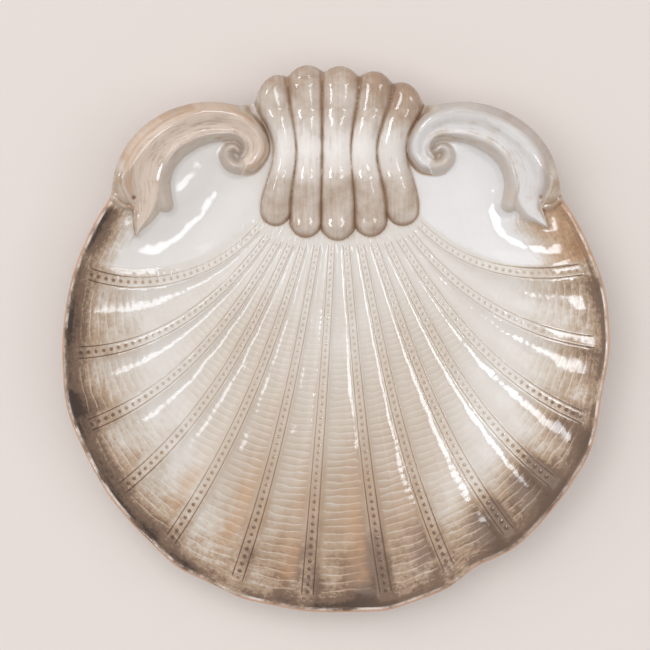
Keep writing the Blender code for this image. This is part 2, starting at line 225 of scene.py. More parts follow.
# %% Headings
RIB_LEAVE = (-89.0, 48.0, -6.6)
RIB_LAND = (-87.0, 93.5, -9.0, 16.0)
STRAIGHTEN = 2.5
RIGHT_TURNS = (-32.0, 29.0)
LEFT_TURNS = (32.0, -29.0)


def column_headings(pitch, chord):
    """The headings, in degrees, with which each column leaves the loop and meets the edge."""
    v = across_fan(pitch)
    leave = RIB_LEAVE[0] + RIB_LEAVE[1] * v + RIB_LEAVE[2] * v ** 3
    land = RIB_LAND[0] + RIB_LAND[1] * v + RIB_LAND[2] * v ** 2 + RIB_LAND[3] * v ** 3
    right = 1.0 - smooth_step((pitch - LAST_RIB) / STRAIGHTEN)
    left = 1.0 - smooth_step((PITCHES - pitch) / STRAIGHTEN)
    fan = pitch <= LAST_RIB
    return (np.where(fan, leave, chord + right * RIGHT_TURNS[0] + left * LEFT_TURNS[0]),
            np.where(fan, land, chord + right * RIGHT_TURNS[1] + left * LEFT_TURNS[1]))


print("the middle flute leaves and lands at", *column_headings(6.5, 0.0), "degrees")

# %% The edge and the whole plan
LIP = 4.0                     # how thick the edge is: rim, scrolls, knuckle
SCROLL_EDGE = 9.0
SCROLL_EDGE_FROM = (62.0, 50.0)
KNUCKLE_EDGE = 13.0
KNUCKLE_EDGE_FROM = (22.0, 16.0)


def edge_thickness(angle):
    from_back = np.abs(angle_gap(angle, 180.0))
    thick = mix(LIP, SCROLL_EDGE, ramp(from_back, *SCROLL_EDGE_FROM))
    return mix(thick, KNUCKLE_EDGE, ramp(from_back, *KNUCKLE_EDGE_FROM))


RIB_BEND = 0.36


def plan_point(pitch, along):
    """X and Y of a place on the dish's top, by its pitch and its share of the way out."""
    x0, y0 = column_start(pitch)
    angle = column_angle(pitch)
    x3, y3 = polar_point(angle, outline_radius(angle) - edge_thickness(angle) / 2.0)
    reach = RIB_BEND * np.hypot(x3 - x0, y3 - y0)
    chord = np.degrees(np.arctan2(y3 - y0, x3 - x0))
    start, end = np.radians(column_headings(pitch, chord))
    x1, y1 = x0 + reach * np.cos(start), y0 + reach * np.sin(start)
    x2, y2 = x3 - reach * np.cos(end), y3 - reach * np.sin(end)
    t = np.clip(along, 0.0, 1.0)
    s = 1.0 - t
    x = s ** 3 * x0 + 3 * s * s * t * x1 + 3 * s * t * t * x2 + t ** 3 * x3
    y = s ** 3 * y0 + 3 * s * s * t * y1 + 3 * s * t * t * y2 + t ** 3 * y3
    inner = np.clip(along + 1.0, 0.0, 1.0)
    x = np.where(along < 0.0, mix(KNUCKLE[0], x0, inner), x)
    y = np.where(along < 0.0, mix(KNUCKLE[1], y0, inner), y)
    return x, y


print("the middle flute's foot:", plan_point(np.array([6.5]), np.array([0.0])))

# %% [markdown]
# ## A lattice over the top
#
# The skin starts as a lattice of rows and columns. A rib's band is only 4 to 7 mm wide and
# carries beads and lines, so it gets nearly as many columns as the wide flute beside it. The
# band keeps its own width while the ribs spread, so the columns' pitches shift a little from
# row to row: that keeps each incised line exactly on one column.

# %% How wide a pitch and a band are
PROBE = 0.05                  # a small step in pitch, for measuring how wide a pitch is
BAND = (3.7, 7.0)             # width of a rib's band at its foot and at the rim


def millimetres_per_pitch(rib, along):
    """How far apart, square to the rib, neighbouring ribs would be at this place."""
    x_a, y_a = plan_point(np.clip(rib - PROBE, 0.0, LAST_RIB), along)
    x_b, y_b = plan_point(np.clip(rib + PROBE, 0.0, LAST_RIB), along)
    ahead = np.clip(along, 0.01, 0.99)
    x_c, y_c = plan_point(rib, ahead - 0.01)
    x_d, y_d = plan_point(rib, ahead + 0.01)
    length = np.hypot(x_d - x_c, y_d - y_c)
    cross = np.abs((x_b - x_a) * (y_d - y_c) - (y_b - y_a) * (x_d - x_c)) / length
    step = np.clip(rib + PROBE, 0.0, LAST_RIB) - np.clip(rib - PROBE, 0.0, LAST_RIB)
    return cross / step


def half_band(along):
    return mix(*BAND, np.clip(along, 0.0, 1.0)) / 2.0


print("half a band from foot to rim:", half_band(0.0), "to", half_band(1.0), "mm")

# %% Rows and columns of the top
BAND_STEPS = (0.0, 0.11, 0.22, 0.33, 0.44, 0.58, 0.72, 0.87, 0.935, 1.0, 1.065, 1.13)
FLUTE_STEPS = 14
BEHIND_COLUMNS = 560
POLE_ROWS = 100
FAN_ROWS = 410


def lattice():
    """Pitch and along at every row and column, and each rib's band as a share of a pitch."""
    out = np.arange(1, FAN_ROWS + 1) / FAN_ROWS
    along = np.concatenate([np.arange(1, POLE_ROWS + 1) / POLE_ROWS - 1.0, out])[:, None]
    fan = np.clip(along, 0.0, 1.0)
    ribs = np.arange(LAST_RIB + 1.0)[None, :]
    bands = half_band(fan) / millimetres_per_pitch(ribs + 0.0 * fan, fan + 0.0 * ribs)
    flute = np.arange(1, FLUTE_STEPS + 1) / FLUTE_STEPS
    columns = []
    for rib in range(LAST_RIB + 1):
        band = bands[:, rib:rib + 1]
        edge = BAND_STEPS[-1] * band
        right = np.hstack([band * np.array(BAND_STEPS)[None, :],
                           edge + (0.5 - edge) * flute[None, :-1]])
        left = -right[:, :0:-1]
        if rib == 0:
            left = left[:, -len(BAND_STEPS) + 1:]
        if rib == LAST_RIB:
            right = right[:, :len(BAND_STEPS)]
        middle = rib + 0.5 + 0.0 * along
        columns += [rib + left, rib + right] + ([middle] if rib < LAST_RIB else [])
    first = LAST_RIB + BAND_STEPS[-1] * bands[:, -1:]
    last = PITCHES - BAND_STEPS[-1] * bands[:, :1]
    behind = np.arange(1, BEHIND_COLUMNS)[None, :] / BEHIND_COLUMNS
    columns.append(first + (last - first) * behind)
    pitch = np.hstack(columns)
    pitch = np.where(pitch < 0.0, pitch + PITCHES, pitch)
    return pitch, along + 0.0 * pitch, bands


pitch, along, bands = lattice()
plan_x, plan_y = plan_point(pitch, along)
place_angle, radius = polar_of(plan_x, plan_y)
edge_gap = outline_radius(place_angle) - radius
print("lattice rows and columns:", pitch.shape)

# %% [markdown]
# ## The bowl
#
# The bowl turns up like a soup plate: flat in the well, then steeper, then nearly straight to
# the rim. Its height is one formula of the distance from the well, a little higher at the
# back. Everything else is relief that is added to it at each place of the lattice.

# %% Height of the bowl
WELL_Z = 10.0
RIM_RISE_FRONT = 30.0
RIM_RISE_BACK = 36.0
RISE_FROM = 50.0
RISE_SPREAD = 90.0
BOWL_POWER = 3.0
BOWL_SLOPE = 0.6
BOWL_RADIUS = 160.0


def bowl_height(x, y):
    angle, reach = polar_of(x, y)
    back = smooth_step((np.abs(angle_gap(angle, 0.0)) - RISE_FROM) / RISE_SPREAD)
    rise = mix(RIM_RISE_FRONT, RIM_RISE_BACK, back)
    share = reach / BOWL_RADIUS
    slope = 1.0 - BOWL_SLOPE * (1.0 - share)
    return WELL_Z + rise * np.minimum(share ** BOWL_POWER, slope)


bowl_z = bowl_height(plan_x, plan_y)
print("bowl from", bowl_z.min().round(1), "to", bowl_z.max().round(1), "mm")

# %% [markdown]
# ## Ribs and flutes
#
# On the bowl lie flat rib bands with a hollow flute between each two. Before a tool can mark
# them, each place has to know its own rib, how far it is from that rib's band, and on which
# side of its flute it lies. Plain hollows, the panels, lie beside the fan.

# %% Which rib and which flute
share_out = np.clip(along, 0.0, 1.0)
in_fan = pitch <= LAST_RIB
behind_middle = (LAST_RIB + PITCHES) / 2.0
nearest = np.where(pitch < behind_middle, LAST_RIB, PITCHES)
nearest = np.where(in_fan, np.round(pitch), nearest)
rib_index = nearest.astype(int) % PITCHES
rows_index = np.arange(len(pitch))[:, None]
band = bands[rows_index, rib_index]
off_rib = np.abs(pitch - nearest)
across_flute = np.clip((off_rib - band) / (0.5 - band), 0.0, 1.0)
flute_index = np.clip(np.floor(pitch), 0, LAST_RIB - 1).astype(int)
flute_side = np.where(in_fan, pitch - np.floor(pitch) - 0.5, 0.5)
past_fan = np.minimum(pitch - LAST_RIB, PITCHES - pitch)
PANEL_FADE = 0.06             # of a pitch, over which the finish turns into the panel's
panel_share = np.where(in_fan, 0.0, np.clip((past_fan - band) / PANEL_FADE, 0.0, 1.0))
print("places in the fan:", np.count_nonzero(in_fan), "of", in_fan.size)

# %% [markdown]
# ## Counting beads and growth lines
#
# On the real dish a stamp walks down each rib, and a comb or a finger marks each flute. So
# both are counted along their own line, at a step that widens towards the rim. A fraction of
# the count says where a place lies between two marks. Each rib and flute starts at a random
# place, and the growth lines wander a little, as hand work does.

# %% Lengths along a line
def count_along(lines, step):
    """How many steps lie between the ribs' feet and each row, on lines down the shell."""
    x, y = plan_point(lines[None, :], share_out[:, :1])
    run = np.hypot(np.diff(x, axis=0), np.diff(y, axis=0))
    counts = np.cumsum(run / mix(*step, share_out[1:, :1]), axis=0)
    return np.vstack([np.zeros((1, len(lines))), counts])


def beside_and_ahead(line):
    """How far each place lies to the side of its line, and ahead along it, in millimetres."""
    before = plan_point(line, np.clip(share_out, 0.01, 0.99) - 0.01)
    after = plan_point(line, np.clip(share_out, 0.01, 0.99) + 0.01)
    on_line = plan_point(line, share_out)
    run_x, run_y = after[0] - before[0], after[1] - before[1]
    length = np.hypot(run_x, run_y)
    dx, dy = plan_x - on_line[0], plan_y - on_line[1]
    return (dy * run_x - dx * run_y) / length, (dx * run_x + dy * run_y) / length


print("the middle flute's length:", count_along(np.array([6.5]), (1.0, 1.0))[-1].round(1), "mm")

# %% Beads along the ribs
BEAD_PITCH = (3.7, 4.5)
rng = np.random.default_rng(14)
bead_step = mix(*BEAD_PITCH, share_out)
beside, ahead = beside_and_ahead(rib_index.astype(float))
bead_lines = count_along(np.arange(LAST_RIB + 1.0), BEAD_PITCH)
bead_lines = bead_lines + rng.uniform(0.0, 1.0, LAST_RIB + 1)
bead_count = bead_lines[rows_index, rib_index] + ahead / bead_step
print("beads on the ribs:", bead_lines[-1].astype(int))

# %% Growth lines across the flutes
CREASE_PITCH = (3.0, 4.9)
CREASE_SQUARE = 0.9           # 1 sets the growth lines square to their flute
CREASE_BOW = 0.35             # how many steps their ends lag behind
CREASE_SHIFT = 5.0            # by up to this many steps a flute's count is shifted
CREASE_TILT = 0.6             # in steps; a flute's luck gives up to half of it
CREASE_WAVES = ((1.1, 0.08), (2.3, 0.05), (4.3, 0.03))    # waves across a flute, size in steps
flute_luck = rng.uniform(0.0, 1.0, (4, LAST_RIB))[:, flute_index]
crease_step = mix(*CREASE_PITCH, share_out)
_, ahead = beside_and_ahead(flute_index + 0.5)
crease_run = count_along(np.arange(LAST_RIB) + 0.5, CREASE_PITCH)[rows_index, flute_index]
crease_count = crease_run + CREASE_SQUARE * ahead / crease_step
crease_count = crease_count + CREASE_SHIFT * flute_luck[0]
crease_count = crease_count + CREASE_BOW * 4.0 * flute_side ** 2
crease_count = crease_count + CREASE_TILT * flute_side * (flute_luck[1] - 0.5)
for waves, size in CREASE_WAVES:
    turn = waves * flute_side * 6.3 + crease_run * (0.7 + 0.4 * waves) + 6.3 * flute_luck[2]
    crease_count = crease_count + size * np.sin(turn + 2.0 * np.sin(crease_run * 0.31))
print("growth lines in the longest flute:", int(crease_run.max()))

# %% [markdown]
# ## Rolls of clay
#
# A modeller lays rolls of clay and smooths them on. Here a roll follows a smooth path through
# a few stations, each with a place, a half width and a height, and its section is a rounded
# arch. The same tool, turned over, presses the long hollows of the panels.

# %% Lay a roll
NOTHING = -20.0               # the height of a roll where there is none
ROLL_POWER = 0.56
SPINE_STEPS = 10


def smooth_path(stations):
    stations = np.array([stations[0], *stations, stations[-1]])
    rows = []
    for a, b, c, d in zip(stations, stations[1:], stations[2:], stations[3:]):
        for t in np.arange(SPINE_STEPS) / SPINE_STEPS:
            rows.append(0.5 * (2 * b + (c - a) * t + (2 * a - 5 * b + 4 * c - d) * t * t
                               + (3 * b - a - 3 * c + d) * t ** 3))
    return np.array(rows + [stations[-1]])


def lay_roll(x, y, stations, flat=1.0, power=ROLL_POWER):
    """A roll's height above the bowl, below zero beside it, and the run and side of each place.

    flat above 1 squares its section off, and a higher power softens its shoulders."""
    path = smooth_path(stations)
    reach = path[:, 2].max() * 1.6
    low, high = path[:, :2].min(axis=0) - reach, path[:, :2].max(axis=0) + reach
    near = (x > low[0]) & (x < high[0]) & (y > low[1]) & (y < high[1])
    px, py = x[near][:, None], y[near][:, None]
    ax, ay, aw, ah = path[:-1].T
    bx, by, bw, bh = path[1:].T
    run = np.maximum((bx - ax) ** 2 + (by - ay) ** 2, 1e-9)
    t = np.clip(((px - ax) * (bx - ax) + (py - ay) * (by - ay)) / run, 0.0, 1.0)
    gap = np.hypot(px - mix(ax, bx, t), py - mix(ay, by, t)) / mix(aw, bw, t)
    pick = gap.argmin(axis=1)[:, None]

    def at_nearest(values):
        return np.take_along_axis(values, pick, axis=1)[:, 0]

    ratio, half, height = [at_nearest(values) for values in (gap, mix(aw, bw, t), mix(ah, bh, t))]
    section = np.maximum(1.0 - ratio ** (2.0 * flat), 0.0) ** power
    beyond = np.minimum(0.0, 1.0 - ratio) * half * 1.6
    lift = np.full(x.shape, NOTHING)
    lift[near] = np.where(ratio < 1.0, height * section, beyond)
    stretch = np.concatenate([[0.0], np.cumsum(np.sqrt(run))])
    turn = (bx - ax) * (py - ay) - (by - ay) * (px - ax)
    course = np.zeros((2, *x.shape))
    course[0][near] = at_nearest(mix(stretch[:-1], stretch[1:], t))
    course[1][near] = np.sign(at_nearest(turn)) * ratio
    return lift, course


trial = ((0.0, 0.0, 5.0, 3.0), (20.0, 0.0, 5.0, 3.0))
print("a trial roll's crest:", lay_roll(np.array([10.0]), np.array([0.0]), trial)[0], "mm")

# %% [markdown]
# ## Relief of the fan
#
# The flutes are shallow troughs. Both edges of a band are incised lines with a slight burr,
# and a row of round dimples runs down its middle. Between growth lines each cell is a little
# hollow, and the sharp crests between cells break the highlights into teeth.

# %% Flutes and panels
FLUTE_DEPTH = 0.118           # of the rib spacing
PANEL_DEPTH = 1.5
PANEL_WIDTH = 0.8
PANEL_TILT = 0.2              # how much the two outermost ribs lean away from the fan
LEFT_HOLLOW = (               # X, Y, half width and depth of the hollow behind the fan
    (-152.0, 60.0, 18.0, 0.5), (-135.8, 53.8, 19.0, 2.2), (-109.4, 51.5, 19.0, 3.4),
    (-91.7, 58.5, 20.0, 3.8), (-82.9, 69.1, 20.0, 3.8), (-63.5, 93.8, 18.0, 2.4),
    (-56.0, 101.0, 18.0, 0.5),
)
RIGHT_HOLLOW = (
    (84.0, 112.0, 16.0, 0.5), (84.7, 105.5, 16.0, 2.0), (90.6, 76.1, 17.0, 2.8),
    (96.4, 61.4, 17.0, 2.8), (120.0, 49.7, 16.0, 2.4), (134.7, 52.6, 14.0, 1.2),
    (144.0, 56.0, 14.0, 0.4),
)


def hollows():
    """The flutes, and the panels beside the fan, which lean away from the outermost ribs."""
    spacing = half_band(share_out) / band
    flute = FLUTE_DEPTH * spacing * (1.0 - (1.0 - across_flute) ** 2)
    across = np.clip((past_fan - band) / PANEL_WIDTH, 0.0, 1.0)
    panel = PANEL_DEPTH * share_out * (1.0 - (1.0 - across) ** 2)
    for stations in (LEFT_HOLLOW, RIGHT_HOLLOW):
        dip, _ = lay_roll(plan_x, plan_y, stations, power=2.0)
        panel = panel + np.maximum(dip, 0.0) * smooth_step(across / 0.3)
    to_panel = np.where(rib_index == 0, -beside, beside) + half_band(share_out)
    lean = np.clip(to_panel, 0.0, 2.0 * half_band(share_out)) * smooth_step(share_out / 0.4)
    at_side = (rib_index == 0) | (rib_index == LAST_RIB)
    panel = panel + PANEL_TILT * lean
    flute = flute + PANEL_TILT * lean * (at_side & (off_rib < 0.45))
    hollow = -np.where(in_fan, flute, panel) * smooth_step((share_out + 0.004) / 0.03)
    return hollow * mix(0.6, 1.0, smooth_step(edge_gap / 14.0))


hollow_z = hollows()
print("the deepest hollow:", hollow_z.min().round(1), "mm")

# %% Lines, beads and growth lines
LINE_DEPTH = 0.5
LINE_WIDTH = 0.1              # of the half band
BURR = 0.16
BEAD_RADIUS = (0.95, 1.3)
BEAD_DEPTH = (0.5, 0.75)
BEADS_END = 9.0               # beads and lines stop this far from the edge
WORN_X = (98.0, 120.0)        # towards this corner the beads are nearly worn away
WORN_Y = (-30.0, -10.0)
CREASE_HEIGHT = 0.08


def round_pit(distance, radius):
    """1 at a pit's middle, 0 from its edge on."""
    return smooth_step(1.15 - np.clip(distance / radius, 0.0, 1.15))


def lines_and_beads():
    worn = 1.0 - ramp(plan_x, *WORN_X) * ramp(plan_y, *WORN_Y)
    tooled = smooth_step((edge_gap - BEADS_END) / 3.0) * smooth_step((share_out + 0.004) / 0.012)
    from_line = (np.abs(beside) / half_band(share_out) - 1.0) / LINE_WIDTH
    line = -LINE_DEPTH * np.exp(-from_line ** 2) + BURR * np.exp(-(np.abs(from_line) - 2.4) ** 2)
    along_bead = (bead_count - np.floor(bead_count) - 0.5) * bead_step
    radius_here = mix(*BEAD_RADIUS, share_out)
    pit = round_pit(np.hypot(beside, along_bead), radius_here)
    pit = -mix(*BEAD_DEPTH, share_out) * pit * worn
    return tooled * (line + pit)


def growth_lines():
    cell = np.abs(2.0 * (crease_count - np.floor(crease_count)) - 1.0)
    clear = smooth_step(across_flute / 0.18) * smooth_step((share_out - 0.06) / 0.2)
    clear = clear * smooth_step((edge_gap - 8.0) / 4.0) * np.where(in_fan, 1.0, 0.0)
    return CREASE_HEIGHT * (cell ** 2.5 - 0.3) * clear


tooled_z, crest_z = lines_and_beads(), growth_lines()
print("tool marks from", tooled_z.min().round(2), "to", tooled_z.max().round(2), "mm")

# %% [markdown]
# ## Rim and unevenness
#
# Inside the rim the wall turns up in a small cove and ends in a thin roll. Hands and kiln
# leave no surface quite even, so a few long, low waves go over everything.

# %% The rim, and the unevenness of hand work
COVE = (9.0, 2.0)             # width and height of the upturn inside the rim
BEADING = (3.5, 0.8)          # width and height of the roll along the rim's edge


def rim_relief():
    """The cove inside the rim and the roll along its edge."""
    cove = np.clip(1.0 - edge_gap / COVE[0], 0.0, 1.0) ** 2 * COVE[1]
    return cove + BEADING[1] * smooth_step((BEADING[0] - edge_gap) / 2.5)


WOBBLE = ((38.0, 0.14), (24.0, 0.1), (15.0, 0.05), (6.5, 0.025))    # wave lengths and heights


def wobble(x, y):
    """The slight unevenness of hand-finished clay: a few waves in every direction."""
    total = np.zeros(x.shape)
    for length, height in WOBBLE:
        for _ in range(5):
            turn, shift = rng.uniform(0.0, 2.0 * math.pi, 2)
            run = x * math.cos(turn) + y * math.sin(turn)
            total = total + height * np.sin(2.0 * math.pi * run / length + shift)
    return total / 2.0


rim_z = rim_relief()
print("the rim turns up by", rim_z.max().round(1), "mm")

# %% [markdown]
# ## The knuckle
#
# Five lobes lie side by side, like fingers, between wavy grooves. Each is an arch across, and
# its height follows one profile from the ribs' feet to the back. A soft maximum joins clay to
# clay with a small fillet, and where two pieces meet is noted, for the wash to collect in.

# %% Join clay to clay
FILLET = 1.0                  # how widely rolls run into each other
SEAM_WIDTH = 1.0


def soft_max(a, b, width):
    share = np.clip(0.5 + 0.5 * (b - a) / width, 0.0, 1.0)
    return mix(a, b, share) + width * share * (1.0 - share)


def seam_of(a, b, width):
    """1 along the line where two surfaces meet, 0 away from it."""
    return np.exp(-((a - b) / width) ** 2) * (np.maximum(a, b) > -1.0)


print("the fillet where two level surfaces meet:", soft_max(0.0, 0.0, FILLET), "mm")

# %% The lobes
LOBES = 5
LOBE_FEET = (67.9, 60.9, 59.1, 61.4, 67.9)
LOBE_HEIGHT = 6.8
KNUCKLE_PROFILE = (
    (56.0, 11.0), (62.0, 13.3), (66.0, 14.7), (68.5, 15.1), (71.0, 15.6), (74.0, 16.7),
    (93.0, 24.9), (95.5, 25.9), (97.5, 26.3), (99.5, 26.5), (101.5, 27.2), (112.0, 31.7),
    (128.0, 38.5), (130.5, 39.3), (133.0, 39.6), (135.0, 39.9), (137.5, 41.0), (146.0, 44.3),
    (148.6, 45.3), (149.6, 45.6), (150.6, 45.5), (156.0, 44.0),
)


def smooth_curve(x, knots):
    """A smooth curve through (place, value) knots."""
    places, values = np.array(knots).T
    slopes = np.gradient(values, places)
    i = np.clip(np.searchsorted(places, x) - 1, 0, len(places) - 2)
    width = places[i + 1] - places[i]
    t = np.clip((x - places[i]) / width, 0.0, 1.0)
    return ((2 * t ** 3 - 3 * t ** 2 + 1) * values[i] + (3 * t ** 2 - 2 * t ** 3) * values[i + 1]
            + width * ((t ** 3 - 2 * t ** 2 + t) * slopes[i] + (t ** 3 - t ** 2) * slopes[i + 1]))


def knuckle_relief(x, y, bowl):
    """The lobes' height above the bowl, their seams, and how far out on a lobe a place is."""
    edges = lobe_edges(y)
    groove_z = smooth_curve(np.clip(y, 56.0, 156.0), KNUCKLE_PROFILE) - bowl
    best = np.full(x.shape, NOTHING)
    seam = np.zeros(x.shape)
    least = np.full(x.shape, 9.0)
    for i in range(LOBES):
        middle = (edges[i] + edges[i + 1]) / 2.0
        half = (edges[i + 1] - edges[i]) / 2.0
        across = (x - middle) / half
        below = np.maximum(LOBE_FEET[i] + half - y, 0.0) / half
        ratio = np.hypot(across, below)
        outward = -across if i == 0 else across if i == LOBES - 1 else 0.0 * across
        low = np.maximum(smooth_step(outward), smooth_step(below * 1.1))
        ground = groove_z * (1.0 - low)
        top = np.maximum(groove_z, 0.0) + LOBE_HEIGHT
        section = np.maximum(1.0 - ratio ** 2, 0.0) ** ROLL_POWER
        beyond = ground + (1.0 - ratio) * half * 1.5
        lift = np.where(ratio < 1.0, ground + (top - ground) * section, beyond)
        seam = np.maximum(seam, seam_of(best, lift, SEAM_WIDTH))
        best = np.maximum(best, lift)
        least = np.minimum(least, ratio)
    return best, seam, least


knuckle_lift, knuckle_seam, lobe_ratio = knuckle_relief(plan_x, plan_y, bowl_z)
print("knuckle up to", knuckle_lift.max().round(1), "mm above the bowl")

# %% [markdown]
# ## The scrolls
#
# Each scroll is a broad floor with a thick outer roll and a thin inner roll on it, and both
# rolls curl into the eye. At the other end the floor runs out in a pointed leaf with a spine,
# a collar and a small hole. The stations are those of the left scroll, and the right one is
# its mirror image with a tongue and a spine of its own.

# %% The scrolls' stations
SCROLL_MIRROR_X = 0.8
SCROLL_FLOOR = (              # X, Y, half width, height above the bowl
    (-111.6, 87.0, 12.2, 4.6), (-112.4, 94.0, 14.0, 5.4), (-110.0, 105.5, 14.6, 6.0),
    (-102.5, 114.8, 14.0, 6.2), (-91.0, 122.0, 12.8, 6.4), (-79.5, 126.4, 11.8, 6.4),
    (-68.5, 127.5, 10.8, 6.4), (-57.5, 126.0, 9.4, 6.2), (-50.5, 121.0, 8.6, 6.0),
    (-47.5, 113.0, 8.0, 5.4), (-51.0, 106.0, 6.5, 4.6),
)
OUTER_ROLL = (
    (-122.2, 85.6, 8.0, 7.0), (-122.4, 94.5, 8.8, 8.6), (-119.8, 101.0, 8.0, 9.0),
    (-117.0, 107.2, 8.0, 9.2), (-112.4, 113.4, 8.0, 9.4), (-105.8, 119.6, 8.0, 9.4),
    (-97.6, 125.2, 7.8, 9.6), (-88.4, 129.4, 7.6, 9.6), (-79.0, 131.8, 7.4, 9.6),
    (-70.4, 132.4, 7.2, 9.6), (-62.4, 131.8, 6.8, 9.6), (-55.8, 129.6, 6.4, 9.6),
    (-50.6, 125.8, 6.0, 9.4), (-46.8, 120.8, 5.4, 9.2), (-45.0, 115.0, 4.8, 8.8),
    (-45.6, 109.2, 4.6, 8.2), (-49.4, 104.0, 4.6, 7.6), (-55.6, 102.0, 4.6, 7.2),
    (-61.4, 103.4, 4.6, 7.2), (-64.6, 107.4, 4.4, 7.4), (-63.8, 111.8, 3.8, 7.8),
    (-60.4, 113.4, 3.0, 7.8), (-57.6, 111.6, 2.2, 7.4),
)
INNER_ROLL = (
    (-100.7, 79.6, 4.6, 6.0), (-102.0, 85.5, 4.9, 7.0), (-102.6, 92.6, 5.0, 7.6),
    (-100.9, 99.7, 5.0, 8.0), (-97.3, 106.9, 4.9, 8.2), (-92.0, 112.8, 4.7, 8.2),
    (-84.4, 117.2, 4.4, 8.2), (-76.6, 119.8, 4.0, 8.0), (-70.0, 120.8, 3.6, 7.8),
    (-64.4, 121.4, 3.0, 7.6), (-59.8, 121.2, 2.8, 7.4), (-55.6, 119.2, 2.7, 7.2),
    (-53.0, 115.6, 2.6, 7.0), (-53.0, 111.0, 2.4, 6.6), (-55.4, 107.4, 2.2, 6.0),
)
LEFT_TONGUE = (               # the floor's pointed end
    (-117.8, 61.6, 0.5, 2.0), (-116.9, 65.6, 2.2, 3.0), (-114.6, 70.8, 4.6, 3.6),
    (-112.6, 76.0, 7.0, 4.0),
)
RIGHT_TONGUE = (              # mirrored with the scroll it belongs to
    (-122.8, 66.8, 0.5, 2.0), (-120.4, 69.2, 1.9, 3.0), (-117.0, 72.8, 3.8, 3.6),
    (-113.4, 77.0, 6.6, 4.0),
)
LEFT_SPINE = (
    (-117.9, 62.4, 0.7, 2.6), (-118.2, 68.0, 1.0, 4.0), (-118.4, 75.6, 1.2, 5.2),
)
RIGHT_SPINE = (
    (-122.6, 67.4, 0.7, 2.6), (-120.6, 73.0, 1.0, 4.0), (-117.6, 80.0, 1.2, 5.2),
)
LEAF_COLLAR = ((-129.4, 83.0, 2.0, 3.0), (-125.0, 79.2, 2.6, 3.8), (-119.8, 77.6, 2.0, 3.8))
LEAF_PIT = (-118.8, 83.4, 1.7, 2.6)    # X, Y, radius and depth of the hole behind the collar
print("stations on the outer roll:", len(OUTER_ROLL))

# %% Lay the scrolls
STRAND_POWER = 0.95           # softer shoulders than a lobe's
SCROLL_FILLETS = (5.0, 1.8)   # how the outer and the inner roll run into the floor


def scroll_relief(x, y):
    """Both scrolls above the bowl: the right one is the left one mirrored."""
    total = np.full(x.shape, NOTHING)
    seams = np.zeros(x.shape)
    courses = np.zeros((2, *x.shape))
    sides = (
        (x, LEFT_TONGUE, LEFT_SPINE),
        (2.0 * SCROLL_MIRROR_X - x, RIGHT_TONGUE, RIGHT_SPINE),
    )
    for px, tongue, spine in sides:
        one, course = lay_roll(px, y, (*tongue, *SCROLL_FLOOR), flat=2.2)
        strands = (
            (OUTER_ROLL, STRAND_POWER, SCROLL_FILLETS[0], 0.06),
            (INNER_ROLL, 0.7, SCROLL_FILLETS[1], 0.3),
            (spine, ROLL_POWER, 2.0 * FILLET, 0.5),
            (LEAF_COLLAR, ROLL_POWER, 2.0 * FILLET, 0.5),
        )
        for strand, power, fillet, seam_depth in strands:
            lift, _ = lay_roll(px, y, strand, power=power)
            seams = np.maximum(seams, seam_depth * seam_of(one, lift, SEAM_WIDTH))
            one = soft_max(one, lift, fillet)
        pit_x, pit_y, pit_radius, pit_depth = LEAF_PIT
        pit = round_pit(np.hypot(px - pit_x, y - pit_y), pit_radius)
        one = one - pit_depth * pit
        seams = np.maximum(seams, pit)
        courses = np.where(one > total, course, courses)
        total = np.maximum(total, one)
    return total, seams, courses


scroll_lift, scroll_seam, scroll_course = scroll_relief(plan_x, plan_y)
print("scrolls up to", scroll_lift.max().round(1), "mm above the bowl")

# %% [markdown]
# ## The whole skin
#
# The skin is one grid of rows and columns. The first row is drawn together in the middle of
# the knuckle and the last one under the middle of the foot, and the grid's two sides meet, so
# merging the doubles closes it. The rows run over the top, round the lip, down the back and
# round the foot ring. The back follows the bowl at an even distance and turns up late to the
# edge, which keeps it clear of the hollows in front.

# %% Heights of the top
SCROLL_FOOT = 2.5
raised = np.maximum(knuckle_lift, scroll_lift)
fan_z = hollow_z + tooled_z + crest_z
relief = (fan_z + rim_z) * smooth_step(1.0 - raised / 2.0)
joined = soft_max(relief, scroll_lift, SCROLL_FOOT)
top_z = bowl_z + soft_max(joined, knuckle_lift, FILLET) + wobble(plan_x, plan_y)
seam = np.maximum(0.6 * seam_of(relief, scroll_lift, SEAM_WIDTH), scroll_seam)
seam = np.maximum(seam * (knuckle_lift < joined), seam_of(joined, knuckle_lift, SEAM_WIDTH))
seam = np.maximum(seam, knuckle_seam)
print("the top from", top_z.min().round(1), "to", top_z.max().round(1), "mm")

# %% The lip
LIP_ROWS = 14
edge_x, edge_y, edge_z = plan_x[-1], plan_y[-1], top_z[-1]
edge_angle = column_angle(pitch[-1])
half_edge = edge_thickness(edge_angle) / 2.0
rows = [(plan_x, plan_y, top_z)]
for k in range(1, LIP_ROWS + 1):
    turn = math.pi * k / LIP_ROWS
    out = half_edge * math.sin(turn)
    rows.append((edge_x + out * np.sin(np.radians(edge_angle)),
                 edge_y - out * np.cos(np.radians(edge_angle)),
                 edge_z - half_edge * (1.0 - math.cos(turn))))
lip_z = rows[-1][2]
edge_radius = np.hypot(edge_x - WELL[0], edge_y - WELL[1])
print("half the edge from", half_edge.min().round(1), "to", half_edge.max().round(1), "mm")

# %% The back and the foot
WALL = 7.5
FOOT_OUTER = 78.0
EDGE_TURN = 4.0               # how late the back turns up to the edge, clear of the hollows
BACK_ROWS = 34
FOOT_RING = (                 # radius, and height above the ground where it isn't the wall's
    (80.2, None), (79.0, 2.4), (78.3, 0.9), (77.9, 0.3), (77.3, 0.0),
    (69.7, 0.0), (69.1, 0.3), (68.6, 1.2), (67.4, None), (50.0, None), (25.0, None),
)


